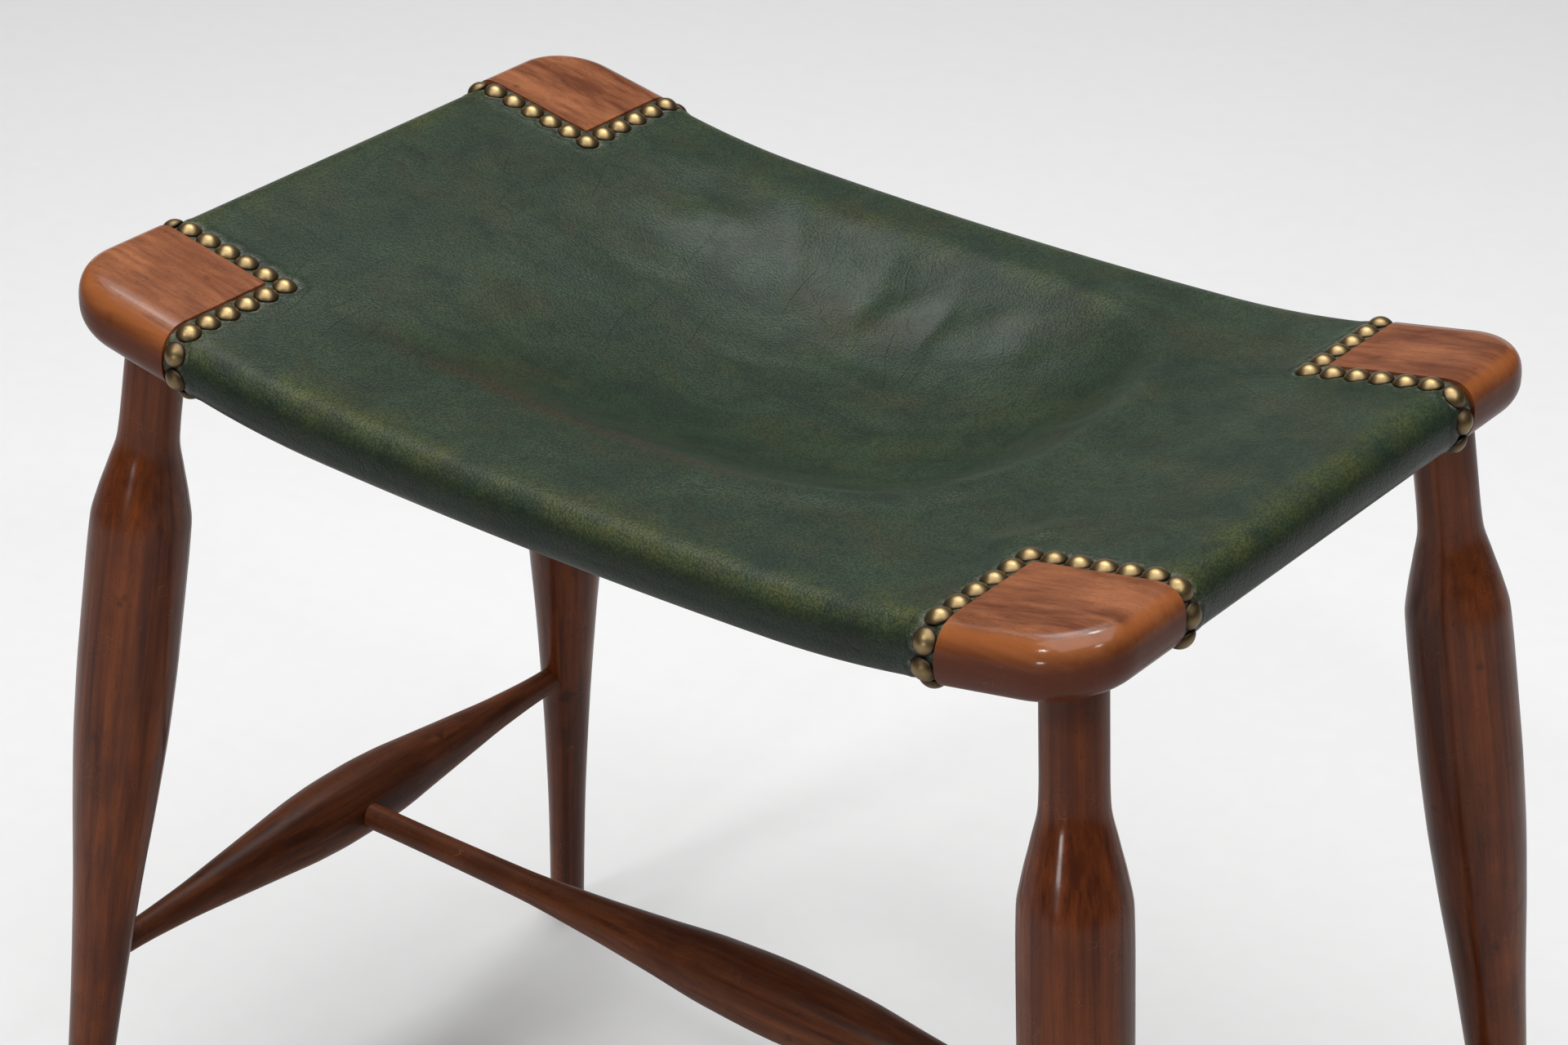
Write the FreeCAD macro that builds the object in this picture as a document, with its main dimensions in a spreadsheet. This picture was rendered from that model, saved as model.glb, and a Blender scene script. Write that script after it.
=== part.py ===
import FreeCAD, Part
import math
import os
import Sketcher

# Stool with a dished leather sling on a curved mahogany frame, four splayed turned legs and three
# turned stretchers. Millimetres. Origin on the floor under the middle of the seat: +X runs along
# the long side, -Y is the front, +Z is up.

SIZES = (
    # Seat frame
    ("seat_length", 495.0, "over the corner blocks, left to right"),
    ("seat_depth", 311.0, "over the corner blocks, front to back"),
    ("middle_height", 459.2, "floor to the top of the wood line in the middle of the long side"),
    ("rail_thickness", 27.0, "top to underside of a corner block"),
    ("dip_radius", 2800.0, "flat curve in the middle of the long rails"),
    ("sweep_radius", 430.0, "tighter curve that lifts the ends"),
    ("sweep_length", 63.6, "length of the tighter curve along the long side"),
    ("straight_margin", 12.9, "end of the tighter curve to the corner block"),
    ("block_length", 63.0, "corner block along the long side"),
    ("block_width", 58.0, "corner block along the short side"),
    ("waist_width", 42.0, "long rail between its corner blocks"),
    ("waist_margin", 24.5, "shoulder at the end of the waist to the corner block's end"),
    ("end_rail_width", 75.0, "end of the blocks to the inner face of the end rail"),
    ("corner_radius", 30.0, "corner block seen from above"),
    ("top_rounding", 10.0, "outer top edge of the frame"),
    ("bottom_rounding", 8.0, "outer bottom edge of the frame"),
    ("inner_rounding", 8.0, "inner top edge of the rails, where the leather leaves them"),
    ("inner_bottom_rounding", 3.0, "inner bottom edge of the rails"),
    # Leather
    ("leather_thickness", 2.0, "bridle leather"),
    ("leather_inset", 1.2, "wood of the blocks stands this much above the leather"),
    ("leather_gap", 0.3, "between leather and wood"),
    ("tuck_width", 38.0, "leather turned under the rails"),
    ("dish_roll", 30.0, "width of the curve over which the leather rolls into the dish"),
    ("dish_depth", 26.0, "deepest place of the dish below the rails"),
    ("dish_edge_depth", 0.1, "dish where it meets the end rails"),
    # Legs; lengths run down the leg from the underside of its block
    ("leg_inset_long", 29.9, "end of the block to the leg axis at the height of the seat"),
    ("leg_inset_short", 34.5, "front of the block to the leg axis at the height of the seat"),
    ("foot_spread_long", 55.1, "foot centre outside that axis, left or right"),
    ("foot_spread_short", 48.5, "foot centre outside that axis, front or back"),
    ("neck_length", 48.1, "straight neck under the block"),
    ("neck_radius", 12.3, "leg there"),
    ("cove_length", 14.0, "end of the neck to the middle of the shoulder's slope"),
    ("cove_radius", 15.5, "leg there"),
    ("slope_length", 25.0, "from there to the belly"),
    ("belly_length", 59.0, "straight belly"),
    ("belly_radius", 20.8, "leg there"),
    ("taper_length", 71.0, "end of the straight belly to where its curve turns into the long taper"),
    ("taper_radius", 18.1, "leg there"),
    ("calf_length", 49.0, "upper stretch of the long taper"),
    ("calf_radius", 14.48, "lower end of that stretch"),
    ("shank_length", 75.0, "middle stretch of the long taper, where the stretcher enters"),
    ("shank_radius", 10.57, "lower end of that stretch"),
    ("foot_radius", 8.3, "leg at the floor"),
    ("leg_tenon_radius", 9.5, "round tenon on top of the leg"),
    ("leg_tenon_depth", 18.0, "tenon inside the block"),
    # Stretchers; half spans run from their middle and lengths from their ends
    ("stretcher_height", 152.0, "floor to the stretchers' centre line"),
    ("stretcher_tenon_radius", 5.9, "both kinds of stretcher, in their sockets"),
    ("side_swell_radius", 16.7, "side stretcher in its middle"),
    ("side_band_half_span", 7.0, "to the end of the plain band that takes the middle stretcher"),
    ("side_swell_half_span", 50.0, "to the end of the swelling curve"),
    ("side_slope_radius", 13.35, "side stretcher there"),
    ("side_straight_length", 16.85, "straight end"),
    ("side_neck_length", 32.0, "straight end to the thin end of the slope"),
    ("side_neck_radius", 7.6, "side stretcher there"),
    ("middle_swell_radius", 17.2, "middle stretcher in its middle"),
    ("middle_swell_half_span", 70.0, "to the end of the swelling curve"),
    ("middle_slope_radius", 12.5, "middle stretcher there"),
    ("middle_straight_length", 19.2, "straight end"),
    ("middle_neck_length", 82.0, "straight end to the thin end of the slope"),
    ("middle_neck_radius", 6.7, "middle stretcher there"),
    ("middle_tenon_depth", 13.0, "middle stretcher inside the side stretchers"),
    # Joinery
    ("tenon_gap", 0.12, "round a tenon or dowel in its hole"),
    ("socket_end_gap", 0.8, "between a tenon or dowel and the bottom of its hole"),
    ("dowel_radius", 3.5, "dowels between end rails and long rails"),
    ("dowel_depth", 15.0, "dowel inside each of the two rails"),
    ("dowel_inset_inner", 30.0, "inner face of the end rail to the first dowel"),
    ("dowel_inset_outer", 12.0, "end of the block to the second dowel"),
    # Nails and tacks
    ("nail_radius", 4.95, "domed brass nail head"),
    ("nail_rise", 3.6, "height of the dome"),
    ("nail_pitch", 10.6, "from nail to nail"),
    ("nail_edge_gap", 0.3, "between the nail heads and the wood"),
    ("head_gap", 0.05, "between a head and the leather"),
    ("tack_radius", 3.2, "flat head of the tacks under the rails"),
    ("tack_rise", 1.1, "height of a tack's head"),
    ("tack_edge", 9.0, "cut edge of the leather to the row of tacks"),
    ("tack_end", 16.0, "last tack to the end of the flap"),
    ("overrun", 20.0, "cutting bodies reach this far past what they cut"),
)
NEAR = 0.02  # two places this close are the same when an edge is picked
NAILS_EACH_WAY = 9
NAIL_SIDES = 8
TACK_SIDES = 6
TACKS_LONG = 11
TACKS_SHORT = 6

# The dish along the long side: place from the left end to the right end of the opening as a share
# of its half length, and depth as a share of the full depth. Its right wall is the steep one.
DISH_SHARES = (
    (-1.0, 0.0), (-0.93, 0.02), (-0.86, 0.06), (-0.76, 0.16), (-0.66, 0.31), (-0.5, 0.6),
    (-0.25, 0.9), (0.0, 1.0), (0.25, 1.0), (0.42, 0.9), (0.52, 0.7), (0.6, 0.46),
    (0.68, 0.24), (0.77, 0.1), (0.86, 0.03), (0.93, 0.01), (1.0, 0.0),
)


class Size:
    """A length, and the expression that gives it from the sheet."""

    def __init__(self, value, text):
        self.value = value
        self.text = text

    def __add__(self, other):
        return Size(self.value + other.value, f"({self.text} + {other.text})")

    def __sub__(self, other):
        return Size(self.value - other.value, f"({self.text} - {other.text})")

    def __neg__(self):
        return Size(-self.value, f"(-{self.text})")

    def __mul__(self, other):
        return Size(self.value * other.value, f"({self.text} * {other.text})")

    def __truediv__(self, other):
        return Size(self.value / other.value, f"({self.text} / {other.text})")


def count(number):
    return Size(float(number), repr(float(number)))


def root(size):
    return Size(math.sqrt(size.value), f"sqrt({size.text})")


def either(size, sign):
    return size if sign > 0 else -size


ZERO = count(0)
ONE = count(1)
TWO = count(2)

doc = FreeCAD.newDocument("stool")
sheet = doc.addObject("Spreadsheet::Sheet", "Sizes")
S = type("Names", (), {})()
for row, (alias, number, meaning) in enumerate(SIZES, start=1):
    sheet.set(f"A{row}", meaning)
    sheet.set(f"B{row}", str(number))
    sheet.setAlias(f"B{row}", alias)
    setattr(S, alias, Size(number, f"Sizes.{alias}"))
doc.recompute()

# Sizes and places worked out from the sheet
half_length = S.seat_length / TWO
half_depth = S.seat_depth / TWO
block_inner_x = half_length - S.block_length
block_inner_y = half_depth - S.block_width
end_rail_inner_x = half_length - S.end_rail_width
leather_half_length = block_inner_x - S.leather_gap
leather_half_width = block_inner_y - S.leather_gap
rebate = S.leather_inset + S.leather_thickness + S.leather_gap
waist_half_span = block_inner_x - S.waist_margin
sweep_half_span = block_inner_x - S.straight_margin
dip_half_span = sweep_half_span - S.sweep_length
dip_sine = dip_half_span / S.dip_radius
sweep_sine = dip_sine + S.sweep_length / S.sweep_radius
dip_cosine = root(ONE - dip_sine * dip_sine)
sweep_cosine = root(ONE - sweep_sine * sweep_sine)
end_slope = sweep_sine / sweep_cosine
dip_rise = S.dip_radius - S.dip_radius * dip_cosine
sweep_rise = dip_rise + S.sweep_radius * (dip_cosine - sweep_cosine)


def straight_top(x):
    """Top of the wood on the straight rise of the ends, for a place x from the middle."""
    return S.middle_height + sweep_rise + end_slope * (x - sweep_half_span)


def wood_top(x):
    """Top of the wood anywhere along the long side, as a plain number."""
    x = abs(x)
    dip_end, sweep_end = dip_half_span.value, sweep_half_span.value
    if x >= sweep_end:
        return S.middle_height.value + sweep_rise.value + end_slope.value * (x - sweep_end)
    if x >= dip_end:
        radius = S.sweep_radius.value
        cosine = math.sqrt(1 - (dip_sine.value + (x - dip_end) / radius) ** 2)
        return S.middle_height.value + dip_rise.value + radius * (dip_cosine.value - cosine)
    radius = S.dip_radius.value
    return S.middle_height.value + radius - math.sqrt(radius ** 2 - x ** 2)


# Legs: the axis passes through a named place at seat height and a named place on the floor
leg_top_x = half_length - S.leg_inset_long
leg_top_y = half_depth - S.leg_inset_short
leg_top_z = straight_top(block_inner_x)
foot_x = leg_top_x + S.foot_spread_long
foot_y = leg_top_y + S.foot_spread_short
splay_x = S.foot_spread_long / leg_top_z
splay_y = S.foot_spread_short / leg_top_z
along_leg = root(ONE + splay_x * splay_x + splay_y * splay_y)
socket_x = foot_x - splay_x * S.stretcher_height
socket_y = foot_y - splay_y * S.stretcher_height
underside_start = straight_top(foot_x) - S.rail_thickness
underside_z = underside_start / (ONE + end_slope * splay_x)
shoulder_length = underside_z * along_leg

# Places along a leg, up from the floor, and along the stretchers, out from their middle
neck_height = shoulder_length - S.neck_length
cove_height = neck_height - S.cove_length
shoulder_height = cove_height - S.slope_length
belly_height = shoulder_height - S.belly_length
taper_height = belly_height - S.taper_length
calf_height = taper_height - S.calf_length
shank_height = calf_height - S.shank_length
side_shank = socket_y - S.side_straight_length
side_neck = side_shank - S.side_neck_length
middle_tenon_end = socket_x - S.side_swell_radius + S.middle_tenon_depth
middle_shank = middle_tenon_end - S.middle_straight_length
middle_neck = middle_shank - S.middle_neck_length


# Sketches

def point(pair):
    return FreeCAD.Vector(pair[0].value, pair[1].value, 0)


def sketch_on(body, role, name, lift=None):
    """A sketch on one of the body's own origin planes, lifted off it by a size."""
    sketch = body.newObject("Sketcher::SketchObject", name)
    plane = next(item for item in body.Origin.OriginFeatures if item.Role == role)
    sketch.AttachmentSupport = (plane, "")
    sketch.MapMode = "FlatFace"
    if lift is not None:
        sketch.setExpression("AttachmentOffset.Base.z", lift.text)
    return sketch


def pin(sketch, index, end, axis, size):
    """Hold one coordinate of a vertex at a size."""
    if size is ZERO:
        sketch.addConstraint(Sketcher.Constraint("PointOnObject", index, end, -2 if axis == "X" else -1))
        return
    number = sketch.addConstraint(Sketcher.Constraint("Distance" + axis, index, end, size.value))
    sketch.setExpression(f"Constraints[{number}]", size.text)


def middle_of_arc(start, finish, tangent):
    """Middle of the arc that leaves start along tangent and ends at finish, and its end tangent."""
    chord = finish - start
    half_turn = math.atan2(tangent.x * chord.y - tangent.y * chord.x, tangent.dot(chord))
    across = FreeCAD.Vector(chord.y, -chord.x, 0)
    middle = (start + finish) / 2 + across * (math.tan(half_turn / 2) / 2)
    cosine, sine = math.cos(2 * half_turn), math.sin(2 * half_turn)
    turned = FreeCAD.Vector(tangent.x * cosine - tangent.y * sine, tangent.x * sine + tangent.y * cosine, 0)
    return middle, turned, half_turn


def draw(sketch, vertices, kinds):
    """A closed outline: one kind for each side, "line" or "arc", each arc tangent to the side before."""
    ends, tangent = [], None
    for index, (pair, kind) in enumerate(zip(vertices, kinds)):
        start, finish = point(pair), point(vertices[(index + 1) % len(vertices)])
        if kind == "line":
            tangent = (finish - start).normalize()
            sketch.addGeometry(Part.LineSegment(start, finish), False)
            ends.append((1, 2))
            continue
        middle, tangent, half_turn = middle_of_arc(start, finish, tangent)
        if half_turn > 0:
            sketch.addGeometry(Part.Arc(start, middle, finish), False)
            ends.append((1, 2))
        else:
            sketch.addGeometry(Part.Arc(finish, middle, start), False)
            ends.append((2, 1))
    for index, kind in enumerate(kinds):
        before = index - 1 if index else len(kinds) - 1
        joint = "Tangent" if kind == "arc" else "Coincident"
        sketch.addConstraint(Sketcher.Constraint(joint, before, ends[before][1], index, ends[index][0]))
        pin(sketch, index, ends[index][0], "X", vertices[index][0])
        pin(sketch, index, ends[index][0], "Y", vertices[index][1])


def body_named(label):
    body = doc.addObject("PartDesign::Body", label.replace(" ", "_"))
    body.Label = label
    return body


def pad(body, sketch, length):
    feature = body.newObject("PartDesign::Pad", body.Name + "_pad")
    feature.Profile = sketch
    feature.Length = length.value
    feature.setExpression("Length", length.text)
    doc.recompute()
    return feature


def fillet(body, base, radius, chosen):
    """Round the edges of the base for which chosen(edge) is true."""
    names = [f"Edge{n}" for n, edge in enumerate(base.Shape.Edges, start=1) if chosen(edge)]
    feature = body.newObject("PartDesign::Fillet", body.Name + "_fillet")
    feature.Base = (base, names)
    feature.Radius = radius.value
    feature.setExpression("Radius", radius.text)
    doc.recompute()
    return feature


def turned(label, vertices, kinds):
    """A piece turned about the Z axis from its half outline, drawn with radius as X and length as Y."""
    body = body_named(label)
    sketch = sketch_on(body, "XZ_Plane", label + "_outline")
    draw(sketch, vertices, kinds)
    feature = body.newObject("PartDesign::Revolution", label + "_turning")
    feature.Profile = sketch
    feature.ReferenceAxis = (sketch, ["V_Axis"])
    feature.Angle = 360.0
    doc.recompute()
    return body


def boolean(kind, label, base, tool):
    feature = doc.addObject("Part::" + kind, label.replace(" ", "_"))
    feature.Base = base
    feature.Tool = tool
    feature.Label = label
    return feature


def together(label, pieces):
    feature = doc.addObject("Part::MultiFuse", label.replace(" ", "_"))
    feature.Shapes = pieces
    feature.Label = label
    return feature


def rod(label, radius, length, start, direction):
    """A round rod from a point along a direction, for dowels, tenons and the holes that take them."""
    feature = doc.addObject("Part::Cylinder", label.replace(" ", "_"))
    feature.Label = label
    feature.setExpression("Radius", radius.text)
    feature.setExpression("Height", length.text)
    turn = FreeCAD.Rotation(FreeCAD.Vector(0, 0, 1), direction)
    feature.Placement = FreeCAD.Placement(start, turn)
    return feature


def room(label, low, high):
    """A box between two corners given as sizes."""
    feature = doc.addObject("Part::Box", label.replace(" ", "_"))
    feature.Label = label
    for axis, name in enumerate(("Length", "Width", "Height")):
        feature.setExpression(name, (high[axis] - low[axis]).text)
        feature.setExpression("Placement.Base." + "xyz"[axis], low[axis].text)
    return feature


# Seat frame

def curved_slab(label, ends, cut_back, inner, outer, side):
    """Slab with the curve of the long side: ends is its half length, inner and outer its faces in Y."""
    body = body_named(label)
    lift = inner if side < 0 else -outer
    sketch = sketch_on(body, "XZ_Plane", label + "_outline", lift)

    def level(span, shift):
        if span is ends:
            return straight_top(ends) + shift
        rise = sweep_rise if span is sweep_half_span else dip_rise
        return S.middle_height + rise + shift

    spans = (ends, sweep_half_span, dip_half_span)
    top, bottom = -cut_back, cut_back - S.rail_thickness
    vertices = [(-span, level(span, top)) for span in spans]
    vertices += [(span, level(span, top)) for span in reversed(spans)]
    vertices += [(span, level(span, bottom)) for span in spans]
    vertices += [(-span, level(span, bottom)) for span in reversed(spans)]
    draw(sketch, vertices, ["line", "arc", "arc", "arc", "line", "line"] * 2)
    return body, pad(body, sketch, outer - inner)


def middle_edge(face_y, upper, cut_back):
    """Picks the edge of a slab that crosses the middle of the seat, on one face, at its top or bottom."""
    drop = cut_back if upper else S.rail_thickness - cut_back
    level = (S.middle_height - drop).value

    def chosen(edge):
        box = edge.BoundBox
        crosses = box.XMin < -NEAR < NEAR < box.XMax
        on_face = abs(box.YMin - face_y) < NEAR and abs(box.YMax - face_y) < NEAR
        return crosses and on_face and abs(box.ZMin - level) < NEAR

    return chosen


def upright_at(face_y):
    """Picks the upright edges on one face."""
    def chosen(edge):
        box = edge.BoundBox
        upright = box.XLength < NEAR and box.YLength < NEAR
        return upright and abs(box.YMin - face_y) < NEAR

    return chosen


def waist(core, side):
    """Narrows the long rail between the shoulders of its blocks, and returns the cut."""
    lowest = S.middle_height - S.rail_thickness - S.overrun
    sketch = sketch_on(core, "XY_Plane", core.Name + "_waist", lowest)
    narrow = either(half_depth - S.waist_width, side)
    outside = either(block_inner_y - S.overrun, side)
    low, high = -waist_half_span, waist_half_span
    draw(sketch, [(low, outside), (high, outside), (high, narrow), (low, narrow)], ["line"] * 4)
    feature = core.newObject("PartDesign::Pocket", core.Name + "_pocket")
    feature.Profile = sketch
    feature.Reversed = True
    tall = S.rail_thickness + S.overrun + S.overrun + S.overrun
    feature.Length = tall.value
    feature.setExpression("Length", tall.text)
    doc.recompute()
    return feature


def long_rail(name, side):
    """A long rail: its two corner blocks and its core between them; side is -1 in front, 1 behind."""
    outer_face = side * half_depth.value
    blank, step = curved_slab(name + "_blank", half_length, ZERO, block_inner_y, half_depth, side)
    step = fillet(blank, step, S.corner_radius, upright_at(outer_face))
    step = fillet(blank, step, S.top_rounding, middle_edge(outer_face, True, ZERO))
    fillet(blank, step, S.bottom_rounding, middle_edge(outer_face, False, ZERO))

    core_outer = half_depth - rebate
    reach = block_inner_x + S.overrun
    core, step = curved_slab(name + "_core", reach, rebate, block_inner_y, core_outer, side)
    outer_face = side * core_outer.value
    inner_face = side * (half_depth - S.waist_width).value
    step = fillet(core, step, S.top_rounding - rebate, middle_edge(outer_face, True, rebate))
    fillet(core, step, S.bottom_rounding - rebate, middle_edge(outer_face, False, rebate))
    step = waist(core, side)
    step = fillet(core, step, S.inner_rounding, middle_edge(inner_face, True, rebate))
    fillet(core, step, S.inner_bottom_rounding, middle_edge(inner_face, False, rebate))

    lowest, highest = S.middle_height - S.rail_thickness - S.overrun, straight_top(half_length) + S.overrun
    near, far = block_inner_y - S.overrun, half_depth + S.overrun
    low_y, high_y = (-far, -near) if side < 0 else (near, far)
    between = room(name + "_span", (-block_inner_x, low_y, lowest), (block_inner_x, high_y, highest))
    round_core = boolean("Cut", name + "_rebate", between, core)
    return blank, boolean("Cut", name + "_shaped", blank, round_core)


def end_rail(name, side):
    """A short rail under the leather; side is -1 at the left and 1 at the right."""
    body = body_named(name + "_blank")
    inner, outer = end_rail_inner_x, half_length - rebate
    sketch = sketch_on(body, "XZ_Plane", name + "_outline", -block_inner_y)
    top, bottom = -rebate, rebate - S.rail_thickness
    corners = [(inner, straight_top(inner) + top), (outer, straight_top(outer) + top),
               (outer, straight_top(outer) + bottom), (inner, straight_top(inner) + bottom)]
    draw(sketch, [(either(x, side), z) for x, z in corners], ["line"] * 4)
    step = pad(body, sketch, block_inner_y + block_inner_y)
    radii = (S.inner_rounding, S.top_rounding - rebate, S.bottom_rounding - rebate, S.inner_bottom_rounding)
    for (x, z), radius in zip(corners, radii):
        step = fillet(body, step, radius, long_edge_at(side * x.value, z.value))
    return body


def long_edge_at(x, z):
    """Picks the edge along Y through one corner of the end rail's outline."""
    def chosen(edge):
        box = edge.BoundBox
        along_y = box.XLength < NEAR and box.ZLength < NEAR
        return along_y and abs(box.XMin - x) < NEAR and abs(box.ZMin - z) < NEAR

    return chosen


# Legs and stretchers

def leg_line(side_x, side_y):
    """Foot centre and upward direction of one leg."""
    foot = FreeCAD.Vector(side_x * foot_x.value, side_y * foot_y.value, 0)
    direction = FreeCAD.Vector(-side_x * splay_x.value, -side_y * splay_y.value, 1).normalize()
    return foot, direction


def leg(name, side_x, side_y, block):
    """One turned leg: belly, shoulder and neck, trimmed by the block and the floor, with its tenon."""
    neck_end = shoulder_length + S.leg_tenon_depth / TWO
    profile = [(ZERO, -S.foot_radius), (S.foot_radius, -S.foot_radius), (S.foot_radius, ZERO),
               (S.shank_radius, shank_height), (S.calf_radius, calf_height),
               (S.taper_radius, taper_height), (S.belly_radius, belly_height),
               (S.belly_radius, shoulder_height), (S.cove_radius, cove_height),
               (S.neck_radius, neck_height), (S.neck_radius, neck_end), (ZERO, neck_end)]
    kinds = ["line", "line", "arc", "arc", "arc", "arc", "line", "arc", "arc", "line", "line", "line"]
    body = turned(name + "_turning", profile, kinds)
    foot, direction = leg_line(side_x, side_y)
    body.Placement = FreeCAD.Placement(foot, FreeCAD.Rotation(FreeCAD.Vector(0, 0, 1), direction))
    trimmed = boolean("Cut", name + "_trimmed", body, block)
    grounded = boolean("Cut", name + "_grounded", trimmed, below_floor)
    start = foot + direction * (shoulder_length - S.leg_tenon_depth).value
    tenon_length = S.leg_tenon_depth + S.leg_tenon_depth
    tenon = rod(name + "_tenon", S.leg_tenon_radius, tenon_length, start, direction)
    with_tenon = boolean("Fuse", name + "_with_tenon", grounded, tenon)
    hole_start = FreeCAD.Vector(side_x * socket_x.value, side_y * (socket_y + S.socket_end_gap).value,
                                S.stretcher_height.value)
    hole = rod(name + "_stretcher_hole", S.stretcher_tenon_radius + S.tenon_gap, S.belly_radius + S.overrun,
               hole_start, FreeCAD.Vector(0, -side_y, 0))
    return boolean("Cut", name, with_tenon, hole)


def leg_socket(name, side_x, side_y):
    """The blind hole in a block that takes a leg's tenon."""
    foot, direction = leg_line(side_x, side_y)
    start = foot + direction * (shoulder_length - S.overrun).value
    length = S.overrun + S.leg_tenon_depth + S.socket_end_gap
    return rod(name + "_socket", S.leg_tenon_radius + S.tenon_gap, length, start, direction)


def stretcher_profile(half, shank, neck, neck_radius, slope, slope_radius, band, swell_radius):
    """Half outline of a swelled bar from one end to the other, as radius and place along it."""
    tenon = S.stretcher_tenon_radius
    rising = [(ZERO, -half), (tenon, -half), (tenon, -shank), (neck_radius, -neck), (slope_radius, -slope)]
    falling = [(slope_radius, slope), (neck_radius, neck), (tenon, shank), (tenon, half), (ZERO, half)]
    if band is ZERO:
        middle, swell = [(swell_radius, ZERO)], ["arc", "arc"]
    else:
        middle, swell = [(swell_radius, -band), (swell_radius, band)], ["arc", "line", "arc"]
    kinds = ["line", "line", "line", "arc"] + swell + ["arc", "line", "line", "line", "line"]
    return rising + middle + falling, kinds


def side_stretcher(name, side):
    body = turned(name + "_turning", *stretcher_profile(
        socket_y, side_shank, side_neck, S.side_neck_radius,
        S.side_swell_half_span, S.side_slope_radius, S.side_band_half_span, S.side_swell_radius))
    middle = FreeCAD.Vector(side * socket_x.value, 0, S.stretcher_height.value)
    along_y = FreeCAD.Rotation(FreeCAD.Vector(0, 0, 1), FreeCAD.Vector(0, 1, 0))
    body.Placement = FreeCAD.Placement(middle, along_y)
    hole_x = side * (middle_tenon_end + S.socket_end_gap).value
    hole_start = FreeCAD.Vector(hole_x, 0, S.stretcher_height.value)
    hole = rod(name + "_hole", S.stretcher_tenon_radius + S.tenon_gap, S.side_swell_radius + S.overrun,
               hole_start, FreeCAD.Vector(-side, 0, 0))
    return boolean("Cut", name, body, hole)


def middle_stretcher(name):
    body = turned(name, *stretcher_profile(
        middle_tenon_end, middle_shank, middle_neck, S.middle_neck_radius,
        S.middle_swell_half_span, S.middle_slope_radius, ZERO, S.middle_swell_radius))
    along_x = FreeCAD.Rotation(FreeCAD.Vector(0, 0, 1), FreeCAD.Vector(1, 0, 0))
    body.Placement = FreeCAD.Placement(FreeCAD.Vector(0, 0, S.stretcher_height.value), along_x)
    return body


# Dowels

def dowel_rods(name, side_x, side_y, radius, depth):
    """Two rods across the joint between a long rail and an end rail."""
    rods = []
    for number, x in enumerate((end_rail_inner_x + S.dowel_inset_inner, half_length - S.dowel_inset_outer)):
        z = straight_top(x) - S.rail_thickness / TWO
        start = FreeCAD.Vector(side_x * x.value, side_y * (block_inner_y - depth).value, z.value)
        rods.append(rod(f"{name}_{number + 1}", radius, depth + depth, start, FreeCAD.Vector(0, side_y, 0)))
    return rods


# Leather

def arc(start, middle, finish):
    return Part.Arc(start, middle, finish).toShape()


def line(start, finish):
    return Part.LineSegment(start, finish).toShape()


def band_path(x, depth, inset):
    """One surface of the leather across the seat at x, from the front cut edge to the back one."""
    top = wood_top(x) - S.leather_inset.value - inset
    bottom = wood_top(x) - (S.rail_thickness - S.leather_inset).value + inset
    outer = (half_depth - S.leather_inset).value - inset
    top_radius = (S.top_rounding - S.leather_inset).value - inset
    bottom_radius = (S.bottom_rounding - S.leather_inset).value - inset
    tuck = (half_depth - S.leather_inset - S.tuck_width).value
    roll = S.dish_roll.value
    roll_start = (half_depth - S.waist_width + S.inner_rounding).value
    lean = 2 * math.atan(depth / roll_start)
    roll_radius = roll / math.sin(lean)
    dish_radius = (roll_start - roll) / math.sin(lean)
    roll_centre = top + inset - roll_radius
    dish_centre = roll_centre + (roll_radius + dish_radius) * math.cos(lean)
    slant = math.sqrt(0.5)

    def on_roll(angle):
        reach = roll_radius - inset
        return roll_start - reach * math.sin(angle), roll_centre + reach * math.cos(angle)

    def corner_middle(centre_y, centre_z, radius, up):
        return centre_y + radius * slant, centre_z + up * radius * slant

    half = [
        (tuck, bottom), (outer - bottom_radius, bottom),
        corner_middle(outer - bottom_radius, bottom + bottom_radius, bottom_radius, -1),
        (outer, bottom + bottom_radius), (outer, top - top_radius),
        corner_middle(outer - top_radius, top - top_radius, top_radius, 1),
        (outer - top_radius, top), (roll_start, top), on_roll(lean / 2), on_roll(lean),
    ]
    front = [FreeCAD.Vector(x, -y, z) for y, z in half]
    back = [FreeCAD.Vector(x, y, z) for y, z in reversed(half)]
    lowest = FreeCAD.Vector(x, 0, dish_centre - dish_radius - inset)
    edges = half_edges(front) + [arc(front[-1], lowest, back[0])]
    return edges + half_edges(back, True), front[0], back[-1]


def half_edges(points, reverse=False):
    """Edges through the ten points of one half: a line, an arc, a line, an arc, a line and an arc."""
    sides = [(0, 1), (1, 2, 3), (3, 4), (4, 5, 6), (6, 7), (7, 8, 9)]
    last = len(points) - 1
    if reverse:
        sides = [tuple(last - n for n in reversed(side)) for side in reversed(sides)]
    return [(line if len(side) == 2 else arc)(*(points[n] for n in side)) for side in sides]


def band_section(x, depth):
    outer, front, back = band_path(x, depth, 0)
    inner, inner_front, inner_back = band_path(x, depth, S.leather_thickness.value)
    return Part.Wire(outer + [line(back, inner_back)] + list(reversed(inner)) + [line(inner_front, front)])


def rounded(corners, radii):
    """Edges along straight runs between corners, with a tangent arc at each corner between the ends."""
    edges, here = [], corners[0]
    for before, corner, after, radius in zip(corners, corners[1:], corners[2:], radii):
        back, ahead = (before - corner).normalize(), (after - corner).normalize()
        half_angle = back.getAngle(ahead) / 2
        cut = radius / math.tan(half_angle)
        centre = corner + (back + ahead).normalize() * (radius / math.sin(half_angle))
        start, finish = corner + back * cut, corner + ahead * cut
        middle = centre + (corner - centre).normalize() * radius
        edges += [line(here, start), arc(start, middle, finish)]
        here = finish
    return edges + [line(here, corners[-1])]


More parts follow.
